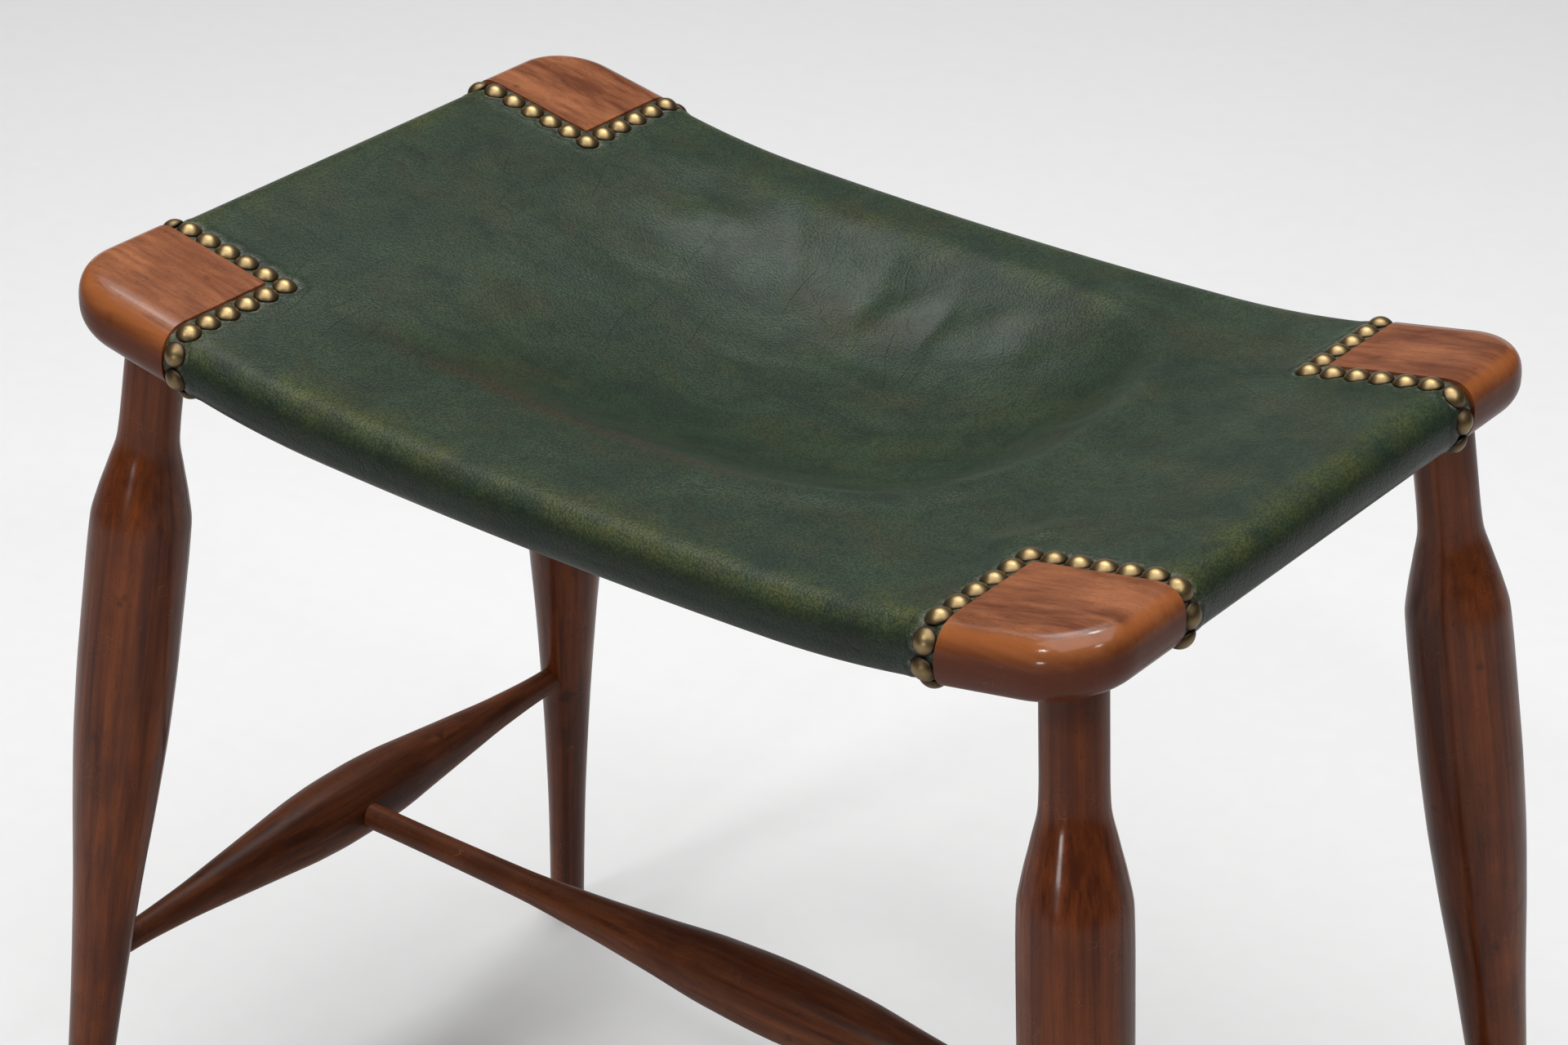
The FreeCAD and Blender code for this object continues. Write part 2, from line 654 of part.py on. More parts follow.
def end_flap(side):
    """The leather over an end rail: along its top, round its end and turned under it."""
    def surface(inset):
        out = (half_length - S.leather_inset).value - inset
        inner = leather_half_length.value
        tuck = (half_length - S.leather_inset - S.tuck_width).value
        down = S.leather_inset.value + inset
        under = (S.rail_thickness - S.leather_inset).value - inset
        roundings = (S.top_rounding, S.bottom_rounding)
        radii = [(rounding - S.leather_inset).value - inset for rounding in roundings]
        places = [(inner, -down), (out, -down), (out, -under), (tuck, -under)]
        y = -leather_half_width.value
        corners = [FreeCAD.Vector(side * x, y, wood_top(x) + shift) for x, shift in places]
        return rounded(corners, radii), corners[0], corners[-1]

    upper, upper_start, upper_end = surface(0)
    lower, lower_start, lower_end = surface(S.leather_thickness.value)
    edges = upper + [line(upper_end, lower_end)] + list(reversed(lower)) + [line(lower_start, upper_start)]
    face = Part.Face(Part.Wire(edges))
    return face.extrude(FreeCAD.Vector(0, 2 * leather_half_width.value, 0))


def leather_sheet():
    reach = leather_half_length.value
    sections = []
    for place, share in DISH_SHARES:
        depth = S.dish_edge_depth.value + share * (S.dish_depth - S.dish_edge_depth).value
        sections.append(band_section(place * reach, depth))
    band = Part.makeLoft(sections, True, True)
    return band.fuse([end_flap(-1), end_flap(1)])


# Nails and tacks

def head(radius, rise, sides, seat, normal):
    """A domed head in flat facets, with its flat side on the leather."""
    ball = (radius ** 2 + rise ** 2) / (2 * rise)
    rim = math.asin((ball - rise) / ball)
    brow = (rim + math.pi / 2) / 2
    turn = FreeCAD.Rotation(FreeCAD.Vector(0, 0, 1), normal)
    base = seat + normal * S.head_gap.value

    def ring(latitude):
        wide, tall = ball * math.cos(latitude), ball * (math.sin(latitude) - math.sin(rim))
        angles = [2 * math.pi * n / sides for n in range(sides)]
        places = [FreeCAD.Vector(wide * math.cos(angle), wide * math.sin(angle), tall) for angle in angles]
        return [base + turn.multVec(place) for place in places]

    low, high, top = ring(rim), ring(brow), base + normal * rise
    outlines = [list(reversed(low))]
    for n in range(sides):
        after = (n + 1) % sides
        outlines += [[low[n], low[after], high[after], high[n]], [high[n], high[after], top]]
    faces = [Part.Face(Part.makePolygon(outline + outline[:1])) for outline in outlines]
    return Part.makeSolid(Part.makeShell(faces))


def walk(travel, stretches):
    """Way out, way down and heading after a travel along straight and bent stretches (length, turn)."""
    out, down, heading = 0, 0, 0
    for length, turn in stretches:
        way = min(travel, length)
        bend = turn * way / length
        if turn:
            out += (math.sin(heading + bend) - math.sin(heading)) * length / turn
            down += (math.cos(heading) - math.cos(heading + bend)) * length / turn
        else:
            out += way * math.cos(heading)
            down += way * math.sin(heading)
        heading += bend
        travel -= way
    return out, down, heading


def over_the_edge(distance, height, top_turn):
    """Stretches from a nail on top, over an edge at a distance, down a height and under."""
    top_radius = (S.top_rounding - S.leather_inset).value
    bottom_radius = (S.bottom_rounding - S.leather_inset).value
    bottom_turn = math.pi - top_turn
    top_tangent = top_radius * math.tan(top_turn / 2)
    bottom_tangent = bottom_radius * math.tan(bottom_turn / 2)
    upright = height - top_tangent - bottom_tangent
    return [(distance - top_tangent, 0), (top_radius * top_turn, top_turn), (upright, 0),
            (bottom_radius * bottom_turn, bottom_turn), (S.tuck_width.value, 0)]


def corner_nails(side_x, side_y):
    """Nails round one block: one at its inner corner and a row each way, over the edge and under it."""
    heads = []
    first_x = (block_inner_x - S.nail_edge_gap - S.nail_radius).value
    first_y = (block_inner_y - S.nail_edge_gap - S.nail_radius).value
    first_z = wood_top(first_x) - S.leather_inset.value
    slope = end_slope.value
    rise = math.atan(slope)
    height = (S.rail_thickness - S.leather_inset - S.leather_inset).value
    across = over_the_edge((half_depth - S.leather_inset).value - first_y, height, math.pi / 2)
    distance = ((half_length - S.leather_inset).value - first_x) / math.cos(rise)
    along = over_the_edge(distance, height, math.pi / 2 + rise)

    def add(x, y, z, normal):
        seat = FreeCAD.Vector(side_x * x, side_y * y, z)
        normal = FreeCAD.Vector(side_x * normal[0], side_y * normal[1], normal[2]).normalize()
        heads.append(head(S.nail_radius.value, S.nail_rise.value, NAIL_SIDES, seat, normal))

    add(first_x, first_y, first_z, (-slope, 0, 1))
    for number in range(1, NAILS_EACH_WAY + 1):
        travel = number * S.nail_pitch.value
        out, down, heading = walk(travel, across)
        facing = (-slope * math.cos(heading), math.sin(heading), math.cos(heading))
        add(first_x, first_y + out, first_z - down, facing)
        out, down, heading = walk(travel, along)
        x = first_x + out * math.cos(rise) + down * math.sin(rise)
        z = first_z + out * math.sin(rise) - down * math.cos(rise)
        add(x, first_y, z, (math.sin(heading - rise), 0, math.cos(heading - rise)))
    return Part.makeCompound(heads)


def rail_tacks(long_way, side):
    """A row of flat tacks under one rail."""
    heads = []
    drop = (S.rail_thickness - S.leather_inset).value
    if long_way:
        row_y = (half_depth - S.leather_inset - S.tuck_width + S.tack_edge).value
        reach = (leather_half_length - S.tack_end).value
        places = [(reach * (2 * n / (TACKS_LONG - 1) - 1), side * row_y) for n in range(TACKS_LONG)]
    else:
        row_x = (half_length - S.leather_inset - S.tuck_width + S.tack_edge).value
        reach = (leather_half_width - S.tack_end).value
        places = [(side * row_x, reach * (2 * n / (TACKS_SHORT - 1) - 1)) for n in range(TACKS_SHORT)]
    for x, y in places:
        slope = (wood_top(x + 1) - wood_top(x - 1)) / 2
        normal = FreeCAD.Vector(slope, 0, -1).normalize()
        seat = FreeCAD.Vector(x, y, wood_top(x) - drop)
        heads.append(head(S.tack_radius.value, S.tack_rise.value, TACK_SIDES, seat, normal))
    return Part.makeCompound(heads)


def shaped(name, shape):
    feature = doc.addObject("Part::Feature", name)
    feature.Label = name
    feature.Shape = shape
    feature.Placement = FreeCAD.Placement()
    return feature


# Assembly
parts = []
floor_x = foot_x + S.foot_radius + S.overrun
floor_y = foot_y + S.foot_radius + S.overrun
below_floor = room("below_floor", (-floor_x, -floor_y, -S.overrun), (floor_x, floor_y, ZERO))
CORNERS = [(side_y, side_x) for side_y in (-1, 1) for side_x in (-1, 1)]
Y_WORD = {-1: "front", 1: "back"}
X_WORD = {-1: "left", 1: "right"}

blanks, shaped_rails, rail_holes, end_holes = {}, {}, {-1: [], 1: []}, {-1: [], 1: []}
for side_y in (-1, 1):
    blanks[side_y], shaped_rails[side_y] = long_rail(f"{Y_WORD[side_y]}_rail", side_y)
for side_y, side_x in CORNERS:
    corner = f"{Y_WORD[side_y]}_{X_WORD[side_x]}"
    parts.append(leg("leg_" + corner, side_x, side_y, blanks[side_y]))
    hole_depth = S.dowel_depth + S.socket_end_gap
    holes = dowel_rods(corner + "_dowel_hole", side_x, side_y, S.dowel_radius + S.tenon_gap, hole_depth)
    rail_holes[side_y] += [leg_socket(corner, side_x, side_y)] + holes
    end_holes[side_x] += holes
    dowels = doc.addObject("Part::Compound", "dowels_" + corner)
    dowels.Label = "dowels_" + corner
    dowels.Links = dowel_rods(corner + "_dowel", side_x, side_y, S.dowel_radius, S.dowel_depth)
    parts.append(dowels)
    parts.append(shaped("nails_" + corner, corner_nails(side_x, side_y)))
for side_y in (-1, 1):
    name = f"{Y_WORD[side_y]}_rail"
    parts.append(boolean("Cut", name, shaped_rails[side_y], together(name + "_holes", rail_holes[side_y])))
    parts.append(shaped(f"tacks_{Y_WORD[side_y]}", rail_tacks(True, side_y)))
for side_x in (-1, 1):
    name = f"{X_WORD[side_x]}_end_rail"
    parts.append(boolean("Cut", name, end_rail(name, side_x), together(name + "_holes", end_holes[side_x])))
    parts.append(shaped(f"tacks_{X_WORD[side_x]}", rail_tacks(False, side_x)))
    parts.append(side_stretcher(f"side_stretcher_{X_WORD[side_x]}", side_x))
parts.append(middle_stretcher("middle_stretcher"))
parts.append(shaped("leather_seat", leather_sheet()))
doc.recompute()

# Checks and files
for item in doc.Objects:
    wrong = [state for state in item.State if state in ("Invalid", "Error")]
    if wrong:
        raise RuntimeError(f"{item.Label}: {wrong}")
for part in parts:
    if part.Shape.isNull() or not part.Shape.isValid() or not part.Shape.Solids:
        raise RuntimeError(f"{part.Label}: shape is null, invalid or has no solid")
os.makedirs("parts", exist_ok=True)
for part in parts:
    part.Shape.exportStep(f"parts/{part.Label}.step")
    print(part.Label, len(part.Shape.Solids), "solids", round(part.Shape.Volume), "mm3")
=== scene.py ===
import random
from math import asin, atan, ceil, cos, exp, hypot, log, pi, radians, sin, sqrt, tan

import bmesh
import bpy
import numpy as np
from mathutils import Matrix, Vector, noise


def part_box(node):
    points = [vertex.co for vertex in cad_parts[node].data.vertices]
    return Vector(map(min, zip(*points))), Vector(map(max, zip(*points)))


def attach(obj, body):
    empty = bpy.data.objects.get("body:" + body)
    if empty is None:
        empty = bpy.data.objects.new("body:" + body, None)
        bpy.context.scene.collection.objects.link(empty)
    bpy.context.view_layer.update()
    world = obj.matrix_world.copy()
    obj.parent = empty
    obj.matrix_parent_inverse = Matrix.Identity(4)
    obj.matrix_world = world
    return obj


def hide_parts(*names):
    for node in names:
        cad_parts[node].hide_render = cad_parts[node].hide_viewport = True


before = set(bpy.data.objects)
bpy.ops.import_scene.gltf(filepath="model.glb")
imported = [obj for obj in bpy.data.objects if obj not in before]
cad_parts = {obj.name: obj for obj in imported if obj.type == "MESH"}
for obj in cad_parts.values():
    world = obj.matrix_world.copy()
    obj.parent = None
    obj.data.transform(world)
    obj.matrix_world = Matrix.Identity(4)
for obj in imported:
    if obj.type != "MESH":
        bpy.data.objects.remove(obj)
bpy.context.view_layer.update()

# Sizes in metres. The frame gives the outline of the seat, and the rest repeats the CAD model's sizes.
# Only the outer edges and the nail heads differ a little, to follow the photograph.
MM = 0.001
RIGHT_ANGLE = pi / 2
FULL_TURN = 2 * pi
SIDES = ((-1, "front"), (1, "back"))
HANDS = ((-1, "left"), (1, "right"))

rail_low, rail_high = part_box("front_rail")
HALF_LENGTH = rail_high.x
HALF_DEPTH = -rail_low.y
BLOCK_LENGTH = 63 * MM
BLOCK_INNER_X = HALF_LENGTH - BLOCK_LENGTH
BLOCK_INNER_Y = -rail_high.y
MIDDLE_HEIGHT = 459.2 * MM
RAIL_THICKNESS = 27 * MM
DIP_RADIUS = 2800 * MM
SWEEP_RADIUS = 430 * MM
SWEEP_LENGTH = 63.6 * MM
STRAIGHT_MARGIN = 12.9 * MM
CORNER_RADIUS = 30 * MM
WAIST_WIDTH = 42 * MM
WAIST_MARGIN = 24.5 * MM
INNER_ROUNDING = 8 * MM
INNER_BOTTOM_ROUNDING = 3 * MM

# Outer edges. The upper one starts and ends on gentler arcs: their share of the turn, and their
# radius and the tight arc's as shares of the rounding.
TOP_ROUNDING = 13 * MM
BOTTOM_ROUNDING = 11 * MM
GENTLE_TURN, GENTLE_RADIUS, TIGHT_RADIUS = 0.12, 1.8, 0.9

HIDE_INSET = 1.2 * MM
HIDE_THICKNESS = 2 * MM
HIDE_GAP = 0.3 * MM
TUCK_WIDTH = 38 * MM
REBATE = HIDE_INSET + HIDE_THICKNESS + HIDE_GAP
HIDE_HALF_LENGTH = BLOCK_INNER_X - HIDE_GAP
HIDE_HALF_WIDTH = BLOCK_INNER_Y - HIDE_GAP

STRETCHER_HEIGHT = 152 * MM
NAIL_RADIUS = 5.1 * MM
NAIL_RISE = 3.1 * MM
NAIL_PITCH = 10.6 * MM
NAIL_EDGE_GAP = 0.3 * MM
NAILS_EACH_WAY = 9

# Curve of the long rails: a flat dip, a tighter sweep and a straight end
SWEEP_END = BLOCK_INNER_X - STRAIGHT_MARGIN
DIP_END = SWEEP_END - SWEEP_LENGTH
DIP_SINE = DIP_END / DIP_RADIUS
SWEEP_SINE = DIP_SINE + SWEEP_LENGTH / SWEEP_RADIUS
DIP_COSINE = sqrt(1 - DIP_SINE ** 2)
SWEEP_COSINE = sqrt(1 - SWEEP_SINE ** 2)
DIP_RISE = DIP_RADIUS * (1 - DIP_COSINE)
SWEEP_RISE = DIP_RISE + SWEEP_RADIUS * (DIP_COSINE - SWEEP_COSINE)
END_SLOPE = SWEEP_SINE / SWEEP_COSINE
END_ANGLE = atan(END_SLOPE)
SLOPE_STEP = 0.5 * MM


def wood_top(x):
    """Height of the wood's top at a place along the seat."""
    x = abs(x)
    if x >= SWEEP_END:
        return MIDDLE_HEIGHT + SWEEP_RISE + END_SLOPE * (x - SWEEP_END)
    if x >= DIP_END:
        sine = DIP_SINE + (x - DIP_END) / SWEEP_RADIUS
        return MIDDLE_HEIGHT + DIP_RISE + SWEEP_RADIUS * (DIP_COSINE - sqrt(1 - sine ** 2))
    return MIDDLE_HEIGHT + DIP_RADIUS - sqrt(DIP_RADIUS ** 2 - x ** 2)


def top_slope(x):
    """Slope of the wood's top there."""
    return (wood_top(x + SLOPE_STEP) - wood_top(x - SLOPE_STEP)) / (2 * SLOPE_STEP)


def clamp(value):
    """The value, kept between 0 and 1."""
    return max(0.0, min(1.0, value))


def hill(distance, width, power=2):
    """1 at no distance, falling off softly over the width."""
    return exp(-(distance / width) ** power)


def spread(start, end, step):
    """Even places from start to end, about a step apart."""
    pieces = max(1, round(abs(end - start) / step))
    return [start + (end - start) * n / pieces for n in range(pieces + 1)]


# Mesh helpers

def new_object(name, vertices, faces, material, smooth_angle=None):
    mesh = bpy.data.meshes.new(name)
    mesh.from_pydata([tuple(v) for v in vertices], [], [tuple(f) for f in faces])
    mesh.validate()
    mesh.shade_smooth()
    if smooth_angle is not None:
        mesh.set_sharp_from_angle(angle=radians(smooth_angle))
    mesh.materials.append(material)
    obj = bpy.data.objects.new(name, mesh)
    bpy.context.scene.collection.objects.link(obj)
    return obj


def face_outward(obj):
    work = bmesh.new()
    work.from_mesh(obj.data)
    bmesh.ops.recalc_face_normals(work, faces=work.faces)
    work.to_mesh(obj.data)
    work.free()


def soften(obj, width):
    """Round the sharp edges a little."""
    bevel = obj.modifiers.new("soft_edges", "BEVEL")
    bevel.width = width
    bevel.segments = 2
    bevel.limit_method = "ANGLE"
    bevel.angle_limit = radians(40)
    bevel.harden_normals = False


def set_points(obj, name, values):
    """A number for each vertex, by name."""
    attribute = obj.data.attributes.new(name, "FLOAT", "POINT")
    attribute.data.foreach_set("value", np.asarray(values, dtype=np.float32))


def set_grain(obj, places):
    """Each vertex's place in its plank, whose grain runs along Z."""
    attribute = obj.data.attributes.new("grain", "FLOAT_VECTOR", "POINT")
    attribute.data.foreach_set("vector", np.asarray(places, dtype=np.float32).ravel())


def band(first, second, size):
    """Faces between two rings, given by their first vertices."""
    return [(first + n, first + (n + 1) % size, second + (n + 1) % size, second + n) for n in range(size)]


def ring(radius, height, around):
    """Places of a ring about the Z axis."""
    angles = [FULL_TURN * n / around for n in range(around)]
    return [(radius * cos(angle), radius * sin(angle), height) for angle in angles]


def lathe_faces(rings, around):
    """Faces of a turned shape: a first vertex, so many rings and a last vertex."""
    last = 1 + (rings - 1) * around
    faces = []
    for n in range(around):
        after = (n + 1) % around
        faces += [(0, 1 + after, 1 + n), (last + around, last + n, last + after)]
    for low in range(1, last, around):
        faces += band(low, low + around, around)
    return faces


def end_faces(count, size):
    """Faces that close the first and the last ring."""
    return [tuple(range(size)), tuple(reversed(range(count - size, count)))]


# Node helpers

class Nodes:
    """A material's nodes, with short ways to add and join them."""

    def __init__(self, name):
        self.material = bpy.data.materials.new(name)
        self.material.use_nodes = True
        self.tree = self.material.node_tree
        self.shader = self.tree.nodes["Principled BSDF"]

    def put(self, socket, value):
        if isinstance(value, bpy.types.NodeSocket):
            self.tree.links.new(value, socket)
        else:
            socket.default_value = value

    def add(self, kind, inputs, output=0, **settings):
        node = self.tree.nodes.new(kind)
        for key, value in settings.items():
            setattr(node, key, value)
        for key, value in inputs.items():
            self.put(node.inputs[key], value)
        return node.outputs[output]

    def math(self, operation, first, second=0.0, clamp=False):
        inputs = {0: first, 1: second}
        return self.add("ShaderNodeMath", inputs, operation=operation, use_clamp=clamp)

    def plus(self, first, second, clamp=False):
        return self.math("ADD", first, second, clamp)

    def times(self, first, second, clamp=False):
        return self.math("MULTIPLY", first, second, clamp)

    def place(self, scale=(1, 1, 1), turn=0.0):
        """Places in the piece, turned and scaled."""
        coordinates = self.add("ShaderNodeTexCoord", {}, output="Object")
        cells = [1 / share for share in scale]
        inputs = {"Vector": coordinates, "Scale": cells, "Rotation": (0, 0, turn)}
        return self.add("ShaderNodeMapping", inputs, vector_type="TEXTURE")

    def grain(self, along, across):
        """Places in the plank, in cells to the metre along and across its grain."""
        vector = self.add("ShaderNodeAttribute", {}, attribute_name="grain", output="Vector")
        return self.add("ShaderNodeMapping", {"Vector": vector, "Scale": (across, across, along)})

    def rail(self, along, across):
        """The same for the CAD model's own pieces, with the grain along Y."""
        return self.place((across, along, across))

    def noise(self, place=None, scale=1.0, detail=3.0, roughness=0.5, distortion=0.0):
        inputs = {"Vector": place or self.place(), "Scale": scale, "Detail": detail,
                  "Roughness": roughness, "Distortion": distortion}
        return self.add("ShaderNodeTexNoise", inputs, output="Fac")

    def ramp(self, value, low, high, low_out=0.0, high_out=1.0):
        """From one output to the other as the value goes from low to high."""
        inputs = {"Value": value, "From Min": low, "From Max": high, "To Min": low_out, "To Max": high_out}
        return self.add("ShaderNodeMapRange", inputs)

    def mix(self, share, first, second):
        node = self.tree.nodes.new("ShaderNodeMix")
        node.data_type = "RGBA"
        self.put(node.inputs[0], share)
        self.put(node.inputs[6], first)
        self.put(node.inputs[7], second)
        return node.outputs[2]

    def tint(self, colour, pattern, low, high, share, towards):
        """The colour, mixed towards another as the pattern rises from low to high."""
        return self.mix(self.ramp(pattern, low, high, 0.0, share), colour, towards)

    def point(self, name):
        """The number of that name that the mesh carries."""
        return self.add("ShaderNodeAttribute", {}, attribute_name=name, output="Fac")

    def bump(self, height, distance, strength=1.0, normal=None):
        inputs = {"Height": height, "Distance": distance, "Strength": strength}
        if normal is not None:
            inputs["Normal"] = normal
        return self.add("ShaderNodeBump", inputs)

    def set(self, **values):
        for key, value in values.items():
            self.put(self.shader.inputs[key.replace("_", " ")], value)


def rgb(red, green, blue):
    return (red, green, blue, 1.0)


# Woods. Colours are linear, and a scale is in cells to the metre.

# Colours of each wood: dark and light figure, and pores
FRAME_COLOURS = rgb(0.096, 0.029, 0.013), rgb(0.25, 0.092, 0.04), rgb(0.048, 0.015, 0.008)
LEG_COLOURS = rgb(0.05, 0.011, 0.004), rgb(0.166, 0.041, 0.009), rgb(0.024, 0.007, 0.003)
STRETCHER_COLOURS = rgb(0.045, 0.013, 0.006), rgb(0.15, 0.045, 0.016), rgb(0.024, 0.008, 0.004)
RAW_COLOURS = rgb(0.16, 0.07, 0.035), rgb(0.27, 0.13, 0.068), rgb(0.09, 0.04, 0.02)
BEECH_COLOURS = rgb(0.42, 0.27, 0.14), rgb(0.58, 0.41, 0.24), rgb(0.25, 0.15, 0.07)
# Top edges: wear together with a painted highlight, towards this orange
WORN_AND_LIT_EDGE = rgb(0.25, 0.067, 0.008)
SCRATCHED = rgb(0.45, 0.27, 0.17)
# Painted shade: a side face keeps this much red, green and blue of the dark wood.
PAINTED_SIDE_SHADE_SHARES = (0.72, 0.44, 0.22)
PORE_DEPTH, SCRATCH_DEPTH, POLISH_WAVES = 0.06 * MM, 0.1 * MM, 0.5 * MM


def wood_colour(nodes, plank, dark, light, pore):
    """The wood's colour with figure and stains, and its pores apart."""
    streaks = nodes.noise(plank(7, 330), detail=4, roughness=0.6, distortion=0.2)
    broad = nodes.noise(plank(5, 60), detail=3, roughness=0.55, distortion=0.4)
    flecks = nodes.noise(plank(120, 2300), detail=2, roughness=0.6)
    ribbon = nodes.noise(plank(26, 34), detail=3, roughness=0.5, distortion=0.8)
    blotches = nodes.noise(scale=26, detail=3, roughness=0.6)
    stains = nodes.noise(scale=78, detail=2, roughness=0.5)
    grime = nodes.noise(scale=620, detail=2, roughness=0.55)
    figure = nodes.plus(nodes.times(streaks, 0.45), nodes.times(broad, 0.55))
    pores = nodes.ramp(flecks, 0.55, 0.72, 0.0, 0.4)
    colour = nodes.mix(nodes.ramp(figure, 0.38, 0.62), dark, light)
    colour = nodes.tint(colour, ribbon, 0.44, 0.7, 0.35, dark)
    colour = nodes.mix(pores, colour, pore)
    colour = nodes.tint(colour, blotches, 0.5, 0.72, 0.5, dark)
    colour = nodes.tint(colour, grime, 0.64, 0.72, 0.4, pore)
    colour = nodes.tint(colour, stains, 0.68, 0.76, 0.6, pore)
    return colour, pores


def wood(name, colours, roughness=0.6, gloss=0.0, gloss_roughness=0.3, carved=True):
    """Polished or raw wood. Only carved pieces carry their place in the plank."""
    nodes = Nodes(name)
    dark, light, pore = colours
    colour, pores = wood_colour(nodes, nodes.grain if carved else nodes.rail, dark, light, pore)
    finish = nodes.noise(scale=34, detail=5, roughness=0.6)
    normal = nodes.bump(nodes.times(pores, -0.5), PORE_DEPTH, 0.4)
    if carved:
        # Painted shade darkens the side faces below the top edge.
        painted_side_shade = rgb(*(part * share for part, share in zip(dark, PAINTED_SIDE_SHADE_SHARES)))
        colour = nodes.mix(nodes.times(nodes.point("shade"), 0.9), colour, painted_side_shade)
        # Wear together with a painted highlight lightens the top rounding.
        worn_and_lit_edge = nodes.mix(0.7, light, WORN_AND_LIT_EDGE)
        colour = nodes.mix(nodes.times(nodes.point("edge"), 0.7), colour, worn_and_lit_edge)
        lines = nodes.add("ShaderNodeTexVoronoi", {"Vector": nodes.place((34, 75, 50), turn=0.9)},
                          feature="DISTANCE_TO_EDGE", output="Distance")
        patches = nodes.ramp(nodes.noise(scale=48, detail=2), 0.6, 0.66)
        scratches = nodes.times(nodes.ramp(lines, 0.006, 0.0), patches, clamp=True)
        colour = nodes.mix(nodes.times(scratches, 0.4), colour, SCRATCHED)
        normal = nodes.bump(scratches, -SCRATCH_DEPTH, 0.5, normal)
        gloss = nodes.ramp(nodes.point("shade"), 0.0, 1.0, gloss, 0.5 * gloss)
    nodes.set(Base_Color=colour, Roughness=nodes.ramp(finish, 0.3, 0.75, roughness - 0.05, roughness + 0.12),
              Specular_IOR_Level=0.05, Coat_Weight=gloss,
              Coat_Roughness=nodes.ramp(finish, 0.3, 0.7, gloss_roughness, gloss_roughness + 0.1),
              Coat_Normal=nodes.bump(finish, POLISH_WAVES, 0.12), Normal=normal)
    return nodes.material


# The stretchers have lost most of their polish, and the wood under the leather never had any.
frame_wood = wood("frame_mahogany", FRAME_COLOURS, roughness=0.36, gloss=0.48, gloss_roughness=0.11)
leg_wood = wood("leg_mahogany", LEG_COLOURS, roughness=0.38, gloss=0.3, gloss_roughness=0.12)
stretcher_wood = wood("stretcher_mahogany", STRETCHER_COLOURS, roughness=0.46, gloss=0.18)
long_rail_wood = wood("long_rail_mahogany", RAW_COLOURS)
end_rail_wood = wood("end_rail_mahogany", RAW_COLOURS, carved=False)
dowel_wood = wood("dowel_beech", BEECH_COLOURS, carved=False)


# Leather

VEIN_DEPTH, WRINKLE_DEPTH, PEBBLE_DEPTH, NAP_DEPTH = 0.25 * MM, 0.4 * MM, 0.2 * MM, 0.4 * MM
PEBBLES_PER_METRE = 1000.0


def leather_colour(nodes, mottled):
    """Mottled green, with painted shade on the sides, and the yellowing, ridge tint, dust and cut edge that
    the mesh carries.
    """
    broad = nodes.noise(nodes.place((11, 11, 11)), detail=3, roughness=0.55)
    clouds = nodes.noise(nodes.place((24, 34, 28)), detail=6, roughness=0.72, distortion=0.2)
    specks = nodes.noise(scale=300)
    colour = nodes.mix(nodes.ramp(mottled, 0.34, 0.66), rgb(0.013, 0.022, 0.013), rgb(0.03, 0.048, 0.026))
    colour = nodes.tint(colour, broad, 0.42, 0.66, 0.4, rgb(0.015, 0.03, 0.019))
    colour = nodes.tint(colour, clouds, 0.46, 0.7, 0.48, rgb(0.046, 0.042, 0.015))
    # Painted shade darkens the leather's sides.
    colour = nodes.mix(nodes.times(nodes.point("shade"), 0.7), colour, rgb(0.008, 0.014, 0.008))
    patchy = nodes.times(nodes.ramp(mottled, 0.36, 0.6, 0.1, 0.9), nodes.ramp(clouds, 0.4, 0.6, 0.3, 1.0))
    yellow = nodes.times(nodes.point("patina"), patchy, clamp=True)
    colour = nodes.mix(yellow, colour, rgb(0.06, 0.068, 0.012))
    # Brown tint along the front ridge
    ridge_brown = nodes.times(nodes.point("ridge"), nodes.ramp(mottled, 0.35, 0.62, 0.1, 0.75), clamp=True)
    colour = nodes.mix(ridge_brown, colour, rgb(0.042, 0.027, 0.015))
    dusty = nodes.times(nodes.point("dust"), nodes.ramp(specks, 0.42, 0.62, 0.05, 0.6), clamp=True)
    colour = nodes.mix(dusty, colour, rgb(0.2, 0.19, 0.16))
    return nodes.mix(nodes.point("cut"), colour, rgb(0.12, 0.1, 0.07))


def veins(nodes, scale, turn, distortion, level, width, depth, patch_scale, patch_low, patch_high):
    """Fine sunk lines where a stretched noise passes a level."""
    pattern = nodes.noise(nodes.place(scale, turn), detail=1, distortion=distortion)
    distance = nodes.math("ABSOLUTE", nodes.math("SUBTRACT", pattern, level))
    patches = nodes.noise(nodes.place(patch_scale, turn), detail=2)
    lines = nodes.ramp(distance, 0.0, width, -depth, 0.0)
    return nodes.times(lines, nodes.ramp(patches, patch_low, patch_high))


